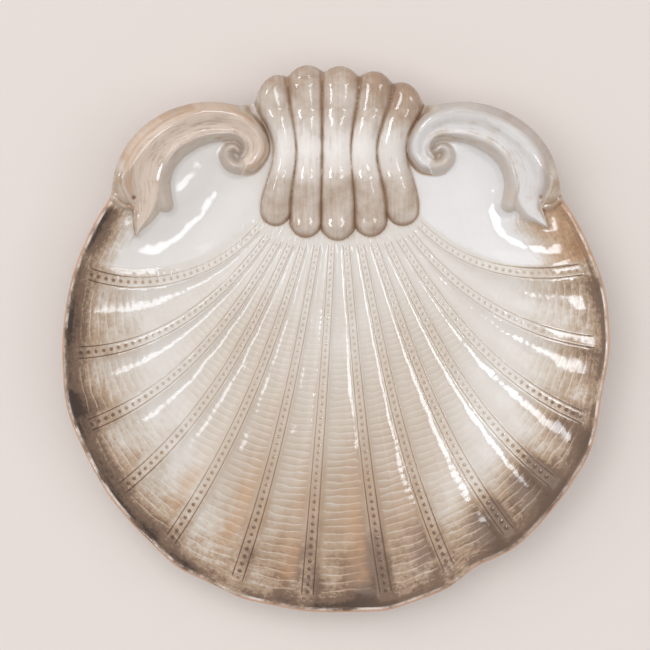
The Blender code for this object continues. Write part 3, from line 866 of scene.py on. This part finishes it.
def back_row(reach, height=None):
    """A row of the back, this far from the well, at the wall's own height if none is given."""
    x, y = polar_point(edge_angle, reach)
    share = np.clip((reach - FOOT_OUTER) / (edge_radius - FOOT_OUTER), 0.0, 1.0)
    drop = lip_z - (bowl_height(edge_x, edge_y) - WALL)
    under = bowl_height(x, y) - WALL + drop * share ** EDGE_TURN
    return x, y, under if height is None else np.full(x.shape, height)


for k in range(1, BACK_ROWS + 1):
    rows.append(back_row(mix(edge_radius, FOOT_RING[0][0] + 1.0, k / BACK_ROWS)))
for reach, height in FOOT_RING:
    rows.append(back_row(np.full(edge_x.shape, reach), height))
skin = np.stack([np.vstack([row[axis] for row in rows]) for axis in range(3)], axis=-1)
print("skin rows and columns:", skin.shape[:2])

# %% [markdown]
# ## Notes for the finish
#
# The wash is wiped over the relief, so the finish has to know what is where: how far a place
# is from its rib, which bead and which growth line it lies on, how far the edge is. These are
# kept on the mesh as smooth counts and distances, and the finish draws its own fine edges
# from them.

# %% Notes on every vertex
under_rows = len(skin) - len(plan_x)


def note(*layers):
    """Three layers over the top, carried on unchanged round the lip and the back."""
    stacked = np.stack([layer + 0.0 * pitch for layer in layers], axis=-1)
    return np.concatenate([stacked, np.repeat(stacked[-1:], under_rows, axis=0)])


notes = {
    "rib": note(beside, bead_count, half_band(share_out)),
    "flute": note(crease_count, across_flute, panel_share),
    "edge": note(edge_gap, share_out, 2.0 * flute_side),
    "form": note(smooth_step(scroll_lift + 0.5), smooth_step(knuckle_lift - joined + 0.5), seam),
}
notes["rolls"] = note(np.minimum(lobe_ratio, 2.0), *scroll_course)
round_lip = np.clip((np.arange(len(skin)) - len(plan_x) + 1.0) / LIP_ROWS, 0.0, 2.0)
notes["side"] = np.repeat(np.stack([round_lip] * 3, axis=-1)[:, None], skin.shape[1], axis=1)
print("notes:", ", ".join(notes))

# %% [markdown]
# ## The skin as one closed mesh
#
# The clay is one body, so it is one closed mesh. A flat grid is wrapped round it: one side
# of the grid becomes the ring round the knuckle's middle, the other the ring under the foot,
# and the two remaining sides meet and are merged.

# %% Small tools for meshes
def flat_grid(name, rows, columns, size):
    bm = bmesh.new()
    bmesh.ops.create_grid(bm, x_segments=rows, y_segments=columns, size=size)
    mesh = bpy.data.meshes.new(name)
    bm.to_mesh(mesh)
    bm.free()
    return mesh


def put_in_scene(name, data):
    thing = bpy.data.objects.new(name, data)
    bpy.context.scene.collection.objects.link(thing)
    return thing


def read_rows(items, key, width=3, kind=np.float64):
    """One row of numbers for each vertex or corner."""
    numbers = np.empty(len(items) * width, kind)
    items.foreach_get(key, numbers)
    return numbers.reshape(-1, width)

# %% Close a grid to the skin
def dense_skin():
    """The grid wrapped over the rows of the skin, with the notes, and sewn shut."""
    row_count, column_count = skin.shape[:2]
    mesh = flat_grid("shell_dish_skin", row_count + 1, column_count, 1.0)
    share = (read_rows(mesh.vertices, "co") + 1.0) / 2.0
    row = np.round(share[:, 0] * (row_count + 1)).astype(int) - 1
    column = np.round(share[:, 1] * column_count).astype(int) % column_count
    on_skin = np.clip(row, 0, row_count - 1)
    places = skin[on_skin, column]
    places[row < 0] = (*KNUCKLE, top_z[0].mean())
    places[row >= row_count] = (*WELL, WELL_Z - WALL)
    mesh.vertices.foreach_set("co", (places * MM).ravel())
    for name, values in notes.items():
        layer = mesh.attributes.new(name, "FLOAT_VECTOR", "POINT")
        layer.data.foreach_set("vector", values[on_skin, column].ravel())
    bm = bmesh.new()
    bm.from_mesh(mesh)
    bmesh.ops.remove_doubles(bm, verts=bm.verts, dist=1e-7)
    bmesh.ops.recalc_face_normals(bm, faces=bm.faces)
    bm.to_mesh(mesh)
    bm.free()
    return mesh


mesh = dense_skin()
print("dense skin:", len(mesh.vertices), "vertices")

# %% [markdown]
# ## Thin the skin
#
# The grid is far too dense to keep. A Decimate modifier takes most triangles from the smooth
# places and few from the fine ones, and the dense skin's normals are put back afterwards, so
# that the fine tooling still catches the light.

# %% Thin it and put the normals back
TRIANGLES = 190000


def keep_normals(mesh, name):
    """Write the dense skin's normals down, to put them back after thinning."""
    normals = read_rows(mesh.vertex_normals, "vector", kind=np.float32)
    layer = mesh.attributes.new(name, "FLOAT_VECTOR", "POINT")
    layer.data.foreach_set("vector", normals.ravel())


def put_normals_back(mesh, name):
    normals = read_rows(mesh.attributes[name].data, "vector", kind=np.float32)
    normals = normals / np.linalg.norm(normals, axis=1)[:, None]
    mesh.attributes.remove(mesh.attributes[name])
    mesh.shade_smooth()
    mesh.normals_split_custom_set_from_vertices(normals)


def thinned(mesh, target):
    """The same skin with fewer triangles, kept where the relief is fine."""
    dense = put_in_scene("dense_skin", mesh)
    thin = dense.modifiers.new("thin", "DECIMATE")
    thin.ratio = target / (2.0 * len(mesh.polygons))
    thin.use_collapse_triangulate = True
    evaluated = dense.evaluated_get(bpy.context.evaluated_depsgraph_get())
    result = bpy.data.meshes.new_from_object(evaluated)
    bpy.data.objects.remove(dense)
    return result


keep_normals(mesh, "dense_normal")
mesh = thinned(mesh, TRIANGLES)
put_normals_back(mesh, "dense_normal")
dish = put_in_scene("glazed_dish", mesh)
print("glazed dish:", len(mesh.vertices), "vertices,", len(mesh.polygons), "faces")

# %% [markdown]
# ## A flat map
#
# A printer who wants the finish on paper needs the skin laid flat. The top is drawn as one
# disc seen from above, and the underside as a smaller disc in the opposite corner.

# %% Lay the skin flat
FRONT_DISC = 0.71             # of the sheet's side
BACK_DISC = 0.44


def flat_map(mesh):
    place = read_rows(mesh.vertices, "co")[:, :2]
    side = read_rows(mesh.attributes["side"].data, "vector")[:, 0]
    corner = read_rows(mesh.loops, "vertex_index", 1, np.int32)[:, 0]
    behind = np.repeat(side[corner].reshape(-1, 3).mean(axis=1) > 0.5, 3)[:, None]
    low, high = place.min(axis=0), place.max(axis=0)
    unit = (place[corner] - (low + high) / 2.0) / (high - low).max() * 2.0
    front = 0.5 * FRONT_DISC * (1.0 + unit)
    back = 1.0 - 0.5 * BACK_DISC * (1.0 + unit * (1.0, -1.0))
    sheet = mesh.uv_layers.new(name="OFBake")
    sheet.uv.foreach_set("vector", np.where(behind, back, front).ravel())
    return behind.mean()


print("share of the corners drawn from below:", round(float(flat_map(mesh)), 2))

# %% [markdown]
# ## Shader maths
#
# The finish is written as sums and products of masks. A small class wraps a shader socket so
# that ordinary Python expressions add the Math nodes, and one method adds any other node.

# %% A socket that counts
class Value:
    """A shader socket that can be added, multiplied and compared like a number."""

    def __init__(self, bench, socket):
        self.bench = bench
        self.socket = socket

    def __add__(self, other):
        return self.bench.maths("ADD", self, other)

    def __sub__(self, other):
        return self.bench.maths("SUBTRACT", self, other)

    def __rsub__(self, other):
        return self.bench.maths("SUBTRACT", other, self)

    def __mul__(self, other):
        return self.bench.maths("MULTIPLY", self, other)

    def __truediv__(self, other):
        return self.bench.maths("DIVIDE", self, other)

    def __abs__(self):
        return self.bench.maths("ABSOLUTE", self)

    __radd__ = __add__
    __rmul__ = __mul__

# %% A bench for mixing the finish
class Bench:
    """One material and the nodes that are added to it."""

    def __init__(self, name):
        self.material = bpy.data.materials.new(name)
        self.material.use_nodes = True
        self.tree = self.material.node_tree
        self.tree.nodes.clear()

    def add(self, kind, settings, sockets):
        """Any node: its type, its settings, then the values or links of its sockets."""
        node = self.tree.nodes.new("ShaderNode" + kind)
        for name, value in settings.items():
            setattr(node, name, value)
        for name, value in sockets.items():
            if isinstance(value, Value):
                self.tree.links.new(value.socket, node.inputs[name])
            else:
                node.inputs[name].default_value = value
        return node

    def maths(self, operation, *terms):
        node = self.add("Math", {"operation": operation}, dict(enumerate(terms)))
        return Value(self, node.outputs[0])

    def rise(self, value, start, end, low=0.0, high=1.0):
        """Smoothly from low at start to high at end, and level beyond them."""
        node = self.add("MapRange", {"interpolation_type": "SMOOTHSTEP"},
                        {"Value": value, "From Min": start, "From Max": end,
                         "To Min": low, "To Max": high})
        return Value(self, node.outputs["Result"])

    def parts(self, vector):
        node = self.add("SeparateXYZ", {}, {"Vector": vector})
        return [Value(self, node.outputs[axis]) for axis in "XYZ"]

    def layers(self, name):
        """The three numbers of a note on the mesh."""
        node = self.add("Attribute", {"attribute_name": name}, {})
        return self.parts(Value(self, node.outputs["Vector"]))

    def finish(self, **sockets):
        """One glossy or dull surface, with these values or links in its sockets."""
        named = {name.replace("_", " "): value for name, value in sockets.items()}
        surface = self.add("BsdfPrincipled", {}, named)
        self.add("OutputMaterial", {}, {"Surface": Value(self, surface.outputs["BSDF"])})

    def noise(self, vector, scale, detail=2.0, roughness=0.5):
        node = self.add("TexNoise", {}, {"Vector": vector, "Scale": scale, "Detail": detail,
                                         "Roughness": roughness})
        return Value(self, node.outputs["Fac"])

    def vector(self, x, y, z):
        node = self.add("CombineXYZ", {}, {"X": x, "Y": y, "Z": z})
        return Value(self, node.outputs[0])

    def over(self, under, colour, share):
        """A colour brushed over another; share says how much of it stays."""
        node = self.add("Mix", {"data_type": "RGBA", "clamp_factor": True},
                        {0: share, 6: under, 7: colour})
        return Value(self, node.outputs[2])


def srgb(red, green, blue):
    """A colour as it is read off a sample card, 0 to 255, as linear light."""
    shares = [channel / 255.0 for channel in (red, green, blue)]
    return (*[c / 12.92 if c < 0.04 else ((c + 0.055) / 1.055) ** 2.4 for c in shares], 1.0)


glaze = Bench("glaze")
print("on the bench:", glaze.material.name)

# %% [markdown]
# ## The glaze
#
# An ivory body shows through clear gloss. Brown wash is heaviest in the tooled lines, the
# beads, the cove inside the rim and the crevices, and it thins to tan over the outer part of
# the flutes. Each mask below is one of those places, or a place where shade or a highlight is
# painted, and the colours are laid over each other in the order a painter would use them.

# %% Places on the dish
rise, over, maths, noise = glaze.rise, glaze.over, glaze.maths, glaze.noise
place_node = glaze.add("TexCoord", {}, {})
place = Value(glaze, place_node.outputs["Object"])
x_mm, y_mm, z_mm = [part * 1000.0 for part in glaze.parts(place)]
beside_rib, bead_number, band_half = glaze.layers("rib")
crease_number, across, panel = glaze.layers("flute")
gap, out, flute_turn = glaze.layers("edge")
scroll, knuckle, crevice = glaze.layers("form")
lobe_out, scroll_run, scroll_across = glaze.layers("rolls")
turned_under, _, _ = glaze.layers("side")
panel = maths("MAXIMUM", panel, rise(y_mm, 72.0, 80.0))
plain = (1.0 - scroll) * (1.0 - knuckle)
on_top = rise(turned_under, 0.4, 0.9, 1.0, 0.0)
fan = plain * (1.0 - panel) * on_top
print("places:", len(glaze.tree.nodes), "nodes")

# %% [markdown]
# ## Brush marks and tool marks
#
# Clouds, mottle and grain are how thin colour dries on glaze, and streaks are the brush's. The
# beads, the incised lines and the crests between growth lines hold or shed the wash, so each
# has a mask with the size of the tool that made it.

# %% Brush marks and tool marks
arc = maths("ARCTAN2", x_mm, y_mm - WELL[1]) * 150.0
cloud = noise(place, 22.0, 3.0)
mottle = noise(place, 90.0, 4.0, 0.6)
grain = noise(place, 420.0, 2.0, 0.7)
streak = noise(glaze.vector(gap * 0.8, arc * 0.07, 0.0), 1.0, 4.0, 0.65)
roll_streak = noise(glaze.vector(scroll_across * 9.0, scroll_run * 0.07, 8.0), 1.0, 4.0, 0.65)
lobe_streak = noise(glaze.vector(x_mm * 0.5, y_mm * 0.05, 7.0), 1.0, 4.0, 0.6)
bead_pitch_here = mix(*BEAD_PITCH, out)
along_bead = (maths("FRACT", bead_number) - 0.5) * bead_pitch_here
bead_radius = mix(*BEAD_RADIUS, out)
from_bead = maths("SQRT", beside_rib * beside_rib + along_bead * along_bead) / bead_radius
tooled = rise(gap, BEADS_END - 1.0, BEADS_END + 2.0) * rise(out, -0.004, 0.008)
near_rib = rise(across, 0.25, 0.1)
bead = rise(from_bead, 1.15, 0.6) * tooled * fan * near_rib
line_place = abs(abs(beside_rib) / band_half - 1.0)
line = rise(line_place, 0.15, 0.03) * tooled * fan * near_rib
cell = maths("FRACT", crease_number)
in_flute = fan * rise(across, 0.12, 0.35) * rise(gap, 7.0, 12.0) * rise(out, 0.05, 0.25)
crest = rise(abs(cell * 2.0 - 1.0), 0.74, 0.98) * in_flute
print("masks made:", len(glaze.tree.nodes), "nodes")

# %% [markdown]
# ## How deep the wash lies
#
# The painter floods the rim and the grooves with thin brown and wipes the high places clean.
# Here the depth of the wash is one number, and it also carries painted shade: a slow rise
# towards the rim, more on each flute's right side (partly painted shade of that side), a
# sawtooth across each growth-line cell (partly painted shade), more in lines, beads and
# crevices, less on the crests, broken by brush streaks.

# %% How deep the wash lies
right = rise(x_mm, 30.0, 100.0) * rise(y_mm, -45.0, -88.0)
left_rim = rise(x_mm, -60.0, -125.0) * rise(y_mm, 60.0, 25.0)
front = rise(abs(x_mm + 5.0), 108.0, 28.0) * rise(y_mm, 60.0, -10.0)
# More wash on each flute's right side; part of it is painted shade for that side of the flute.
right_side_wash_and_shade = 0.45 + (rise(flute_turn, -0.4, 0.8) - 0.45) * rise(across, 0.0, 0.3)
deep = 0.56 * front * rise(gap, 215.0, 0.0)
shore = (0.42 + 0.32 * right) * rise(gap, 60.0, 4.0 + 6.0 * right)
wash_and_shade = maths("SMOOTH_MAX", deep, shore, 0.12)
wash_and_shade = wash_and_shade * (0.5 + 0.8 * cloud) * (0.86 + 0.28 * right_side_wash_and_shade)
wash_and_shade = wash_and_shade + 0.1 * right_side_wash_and_shade * rise(y_mm, 40.0, -60.0) * rise(gap, 70.0, 14.0)
# A sawtooth across each growth-line cell: partly wash pooled against one crest, partly painted
# shade of the cell's hollow.
wash_and_shade = wash_and_shade + 0.1 * (cell - 0.5) * in_flute * rise(wash_and_shade, 0.0, 0.2)
ragged = gap + (streak - 0.5) * 26.0
ragged_here = ragged - 12.0 * rise(x_mm, 60.0, 100.0) + 40.0 * rise(y_mm, 72.0, 88.0)
bare_panel = panel * rise(ragged_here, 8.0, 30.0)
wash_and_shade = wash_and_shade * (1.0 - bare_panel)
blotch = rise(cloud, 0.42, 0.6)
cove = rise(gap + (mottle - 0.5) * 7.0, 13.0, 4.0) * (0.48 - 0.26 * right) * across
shaded_rim = rise(gap + (mottle - 0.5) * 9.0, 10.0, 4.0) * rise(x_mm, 60.0, -30.0, 0.25, 1.0)
pool = 0.36 * blotch * rise(x_mm, 90.0, 40.0, 0.7, 1.0) * rise(gap, 46.0, 16.0)
tone_terms = (
    cove * (0.3 + 0.7 * right_side_wash_and_shade) * (0.2 + 0.6 * blotch),
    0.36 * left_rim * rise(gap + (mottle - 0.5) * 14.0, 20.0, 7.0),
    0.3 * shaded_rim * (0.4 + 0.6 * blotch) * rise(y_mm, 60.0, 20.0),
    pool * right_side_wash_and_shade * rise(y_mm, 0.0, -60.0),
    (streak - 0.5) * 0.5 * rise(gap, 60.0, 6.0),
    (mottle - 0.5) * 0.55 * rise(gap, 90.0, 8.0),
    (grain - 0.5) * (0.35 * rise(gap, 70.0, 10.0) + 0.25 * rise(gap, 24.0, 8.0)),
)
for tone_term in tone_terms:
    wash_and_shade = wash_and_shade + tone_term
edge_ring = rise(abs(gap - 3.8 + (mottle - 0.5) * 5.0), 1.8, 0.4) * rise(cloud, 0.3, 0.6)
wash_and_shade = wash_and_shade * (1.0 - 0.9 * bare_panel) * (1.0 - 0.4 * crest) * rise(gap, 0.6, 2.4, 0.5, 1.0)
wash_and_shade = (wash_and_shade + 0.22 * edge_ring) * plain
print("wash on the bowl:", len(glaze.tree.nodes), "nodes")

# %% [markdown]
# ## Wash on the tooled and modelled places
#
# Lines, beads and crevices keep the wash. On the knuckle the colour is darker at the lobes'
# ends and sides and on the upper right-hand lobes, and palest at their waist. On the scrolls
# it is left along both edges of the rolls.

# %% Wash on the lines, the knuckle and the scrolls
worn = rise(x_mm, *WORN_X) * rise(y_mm, *WORN_Y)
waist = rise(abs(y_mm - 112.0) + (lobe_streak - 0.5) * 14.0, 26.0, 0.0)
lobe_tone = 0.14 * rise(y_mm, 102.0, 88.0) + 0.1 * rise(y_mm, 118.0, 134.0)
lobe_tone = lobe_tone + 0.14 * rise(y_mm, 140.0, 152.0) + 0.06 * (1.0 - waist)
# Darker on the upper half of the right-hand lobes.
lobe_tone = lobe_tone + 0.2 * rise(x_mm, 10.0, 40.0) * rise(y_mm, 112.0, 140.0)
lobe_tone = lobe_tone + 0.2 * rise(lobe_out, 0.75, 1.0)
outer = rise(scroll_across, 0.25, 0.8)
curl = rise(scroll_run, 130.0, 175.0)
roll_tone = 0.34 * rise(scroll_across, 0.72, 1.0) + 0.12 * rise(scroll_across, -0.5, -0.9)
roll_tone = roll_tone + (0.04 + 0.12 * rise(x_mm, 20.0, -20.0)) * curl
# Darker in the corners where the knuckle meets the scrolls.
recess = rise(abs(abs(x_mm - 1.0) - 44.0), 7.0, 3.0) * rise(y_mm, 116.0, 124.0)
tone_terms = (
    line * (0.22 + 0.22 * rise(gap, 70.0, 10.0)),
    bead * (0.15 + 0.18 * rise(gap, 90.0, 10.0)) * (1.0 - 0.6 * worn),
    crevice * (0.34 + 0.2 * mottle),
    knuckle * (lobe_tone + (lobe_streak - 0.5) * 0.25 + (mottle - 0.5) * 0.45),
    scroll * (roll_tone + (roll_streak - 0.5) * 0.25 + (mottle - 0.5) * 0.55),
    recess * (1.0 - knuckle) * 0.12,
)
for tone_term in tone_terms:
    wash_and_shade = wash_and_shade + tone_term
wash_and_shade = wash_and_shade * on_top
print("whole wash:", len(glaze.tree.nodes), "nodes")

# %% [markdown]
# ## Colours
#
# A few named glazes are enough. The body colour changes with the part of the dish, then the
# wash, with the painted shade it carries, lays beige, tan, brown and dark over it as it gets
# deeper. Ochre, strokes, pinholes, the rubbed line on the rim and a painted highlight along
# the rim's edge come last.

# %% Colours
IVORY = srgb(226, 220, 214)
WHITE = srgb(236, 234, 235)
BEIGE = srgb(208, 195, 182)
TAN = srgb(182, 157, 134)
BROWN = srgb(132, 108, 91)
DARK = srgb(72, 57, 50)
OCHRE = srgb(206, 160, 118)
CARAMEL = srgb(198, 169, 146)
CREAM = srgb(226, 209, 195)
SLATE = srgb(184, 170, 161)
TAUPE = srgb(224, 210, 201)
GREY = srgb(229, 226, 225)
RUST = srgb(150, 104, 78)
PEACH = srgb(208, 160, 130)
CLAY = srgb(196, 160, 128)
UMBER = srgb(170, 141, 121)
MILK = srgb(248, 242, 237)
HIGHLIGHT_PEARL = srgb(238, 228, 220)

left = rise(x_mm, 20.0, -20.0)
body = over(IVORY, WHITE, panel * plain * (0.85 - 0.5 * left))
# Palest on the left-hand lobes' waist.
body = over(body, MILK, knuckle * waist * rise(x_mm, 45.0, 10.0))
body = over(body, TAUPE, knuckle * (1.0 - waist))
inner = rise(scroll_across, -0.4, -0.7)
warm = over(CREAM, CARAMEL, outer * 0.8 + (roll_streak - 0.46) * 2.4)
warm = over(warm, SLATE, inner * 0.8)
leaf_end = rise(scroll_run, 110.0, 40.0)
cool = over(GREY, SLATE, outer * (0.7 + 0.5 * leaf_end) + inner * 0.6 + (roll_streak - 0.5) * 0.9)
cool = over(cool, CARAMEL, curl * 0.5)
body = over(body, over(cool, warm, left), scroll)
print("body colour:", len(glaze.tree.nodes), "nodes")

# %% [markdown]
# ## The coats
#
# The wash, with the painted shade on the flutes' sides, goes on in four depths. Then come
# umber strokes on the scrolls and lobes, ochre in the front flutes and the panels' corner,
# pinholes in the glaze, the rubbed edge and a painted highlight along the rim. The back is
# plain, and the foot is bare clay.

# %% The coats
strokes = rise(roll_streak + (mottle - 0.5) * 0.5, 0.5, 0.75) * scroll * left
umber = knuckle * rise(lobe_tone * 1.6 + (mottle - 0.5) * 0.9 + (lobe_streak - 0.5) * 0.5, 0.1, 0.7)
ochre = rise(y_mm, -40.0, -100.0) * rise(abs(x_mm + 35.0), 100.0, 30.0)
ochre = ochre * rise(cloud, 0.32, 0.55) * fan * rise(gap, 10.0, 20.0)
ochre = ochre * rise(flute_turn, -0.3, 0.6) * rise(across, 0.0, 0.5)
ochre = ochre * rise(gap + (mottle - 0.5) * 40.0, 95.0, 40.0)
corner = panel * plain * rise(ragged, 34.0, 10.0) * on_top * rise(x_mm, 40.0, 80.0)
corner = corner * rise(y_mm, 88.0, 76.0)
spots = glaze.add("TexVoronoi", {}, {"Vector": place, "Scale": 42.0, "Randomness": 1.0})
rare = glaze.add("SeparateColor", {}, {"Color": Value(glaze, spots.outputs["Color"])})
rare = rise(Value(glaze, rare.outputs["Red"]), 0.8, 0.81)
pinhole = rise(Value(glaze, spots.outputs["Distance"]), 0.03, 0.015) * rare
# Just inside the outline: on the rim a painted highlight of the glossy rolled edge, on the scrolls
# and the knuckle a rust line.
edge_highlight_and_rust = rise(gap, 2.8, 2.3) * rise(turned_under, 0.9, 0.5)
outline = rise(turned_under + (mottle - 0.5) * 0.3, 0.08, 0.22) * plain
outline = outline * rise(turned_under, 0.7, 0.4) * rise(y_mm, 95.0, 80.0)
bare = rise(z_mm, 0.35, 0.2)
coats = (
    (BEIGE, rise(wash_and_shade, 0.0, 0.22)),
    (TAN, rise(wash_and_shade, 0.18, 0.42)),
    (BROWN, rise(wash_and_shade, 0.38, 0.66)),
    (DARK, rise(wash_and_shade, 0.6, 1.2) * rise(x_mm, 50.0, -20.0, 0.45, 1.0)),
    (UMBER, strokes * 0.45),
    (UMBER, umber * 0.6),
    (OCHRE, ochre * (1.0 - line) * rise(mottle, 0.2, 0.7, 0.25, 0.8)),
    (OCHRE, corner * 0.4),
    (BROWN, pinhole * 0.7),
    # A painted highlight in flecks along the rim's rolled edge.
    (HIGHLIGHT_PEARL, edge_highlight_and_rust * plain * rise(mottle, 0.4, 0.65) * (0.8 - 0.4 * right)),
    (PEACH, outline * rise(cloud, 0.25, 0.4) * 0.9),
    (RUST, edge_highlight_and_rust * (1.0 - plain) * 0.6),
    (RUST, crevice * (1.0 - plain) * on_top * rise(mottle, 0.45, 0.7)),
    (IVORY, rise(turned_under, 0.8, 1.0)),
    (CLAY, bare),
)
colour = body
for paint, share in coats:
    colour = over(colour, paint, share)
print("coats laid:", len(coats))

# %% [markdown]
# ## The gloss
#
# Clear glaze is smooth and bright, with a slow ripple where it ran in the kiln. The ripple
# breaks the edges of the highlights. The foot's underside is wiped bare and stays dull.

# %% The glaze itself
ripple = noise(place, 70.0, 1.0)
height = streak * 0.02 + mottle * 0.06 + ripple * (0.2 + 0.4 * panel * plain)
bump = glaze.add("Bump", {}, {"Strength": 1.0, "Distance": 0.001, "Height": height})
glaze.finish(
    Base_Color=colour,
    Roughness=0.08 + 0.05 * in_flute + 0.6 * bare,
    IOR=1.5,
    Normal=Value(glaze, bump.outputs["Normal"]),
)
dish.data.materials.clear()
dish.data.materials.append(glaze.material)
print("glaze:", len(glaze.tree.nodes), "nodes")

# %% [markdown]
# ## Table, light and camera
#
# The dish stands on a pale table by two windows, with a broad soft light from the left. The
# camera looks straight down.

# %% Table
table = put_in_scene("table", flat_grid("table", 1, 1, 6.0))
paper = Bench("table_paper")
paper.finish(Base_Color=srgb(228, 219, 214), Roughness=0.8)
table.data.materials.append(paper.material)
print("table:", len(table.data.polygons), "face")

# %% [markdown]
# ## Lights
#
# Two windows give the small crisp highlights, and they shine only on the gloss. The soft
# boxes and the pale room give the even light and the faint shadow.

# %% Lights
DAYLIGHT = (0.86, 0.93, 1.0)


def lamp(name, azimuth, elevation, distance, width, height, power, shine_only=False):
    """A soft box that faces the dish. Azimuth 0 is in front (-Y) and 90 on the right (+X)."""
    data = bpy.data.lights.new(name, "AREA")
    data.shape = "RECTANGLE"
    data.size = width
    data.size_y = height
    data.energy = power
    if shine_only:
        data.color = DAYLIGHT
    lamp_object = put_in_scene(name, data)
    turn, tilt = math.radians(azimuth), math.radians(elevation)
    away = Vector((math.sin(turn) * math.cos(tilt), -math.cos(turn) * math.cos(tilt),
                   math.sin(tilt)))
    lamp_object.location = away * distance
    lamp_object.rotation_euler = away.to_track_quat("Z", "Y").to_euler()
    lamp_object.visible_diffuse = not shine_only
    return lamp_object


lamp("window_left", -70.0, 42.0, 3.0, 1.5, 0.75, 45.0, shine_only=True)
lamp("window_right", 52.0, 53.0, 3.0, 1.35, 0.7, 24.0, shine_only=True)
lamp("soft_left", -125.0, 52.0, 5.0, 4.0, 4.0, 52.0)
lamp("soft_above", -110.0, 80.0, 4.0, 3.0, 3.0, 58.0).visible_glossy = False
lamp("soft_right", 90.0, 60.0, 4.0, 3.0, 3.0, 30.0).visible_glossy = False
world = bpy.data.worlds.new("room")
world.use_nodes = True
room = world.node_tree.nodes["Background"]
room.inputs["Color"].default_value = (1.0, 0.99, 0.98, 1.0)
room.inputs["Strength"].default_value = 0.435
bpy.context.scene.world = world
bpy.context.scene.view_settings.view_transform = "Standard"
print("lights:", len(bpy.data.lights))

# %% [markdown]
# ## Camera
#
# It hangs two metres above the dish and looks straight down, with a long lens, so that the
# high rim isn't drawn larger than the bowl.

# %% Camera
CAMERA_AT = (-6.5, 8.5)
CAMERA_HEIGHT = 2000.0
VIEW_WIDTH = 382.0
RIM_PLANE = 42.0
SENSOR = 36.0
camera_data = bpy.data.cameras.new("camera")
camera_data.sensor_width = SENSOR
camera_data.lens = SENSOR * CAMERA_HEIGHT / VIEW_WIDTH
camera = put_in_scene("camera", camera_data)
camera.location = Vector((*CAMERA_AT, CAMERA_HEIGHT + RIM_PLANE)) * MM
bpy.context.scene.camera = camera
print("lens:", round(camera_data.lens, 1), "mm")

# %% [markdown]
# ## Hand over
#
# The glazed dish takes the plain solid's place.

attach(dish, "root")
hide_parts("shell_dish")
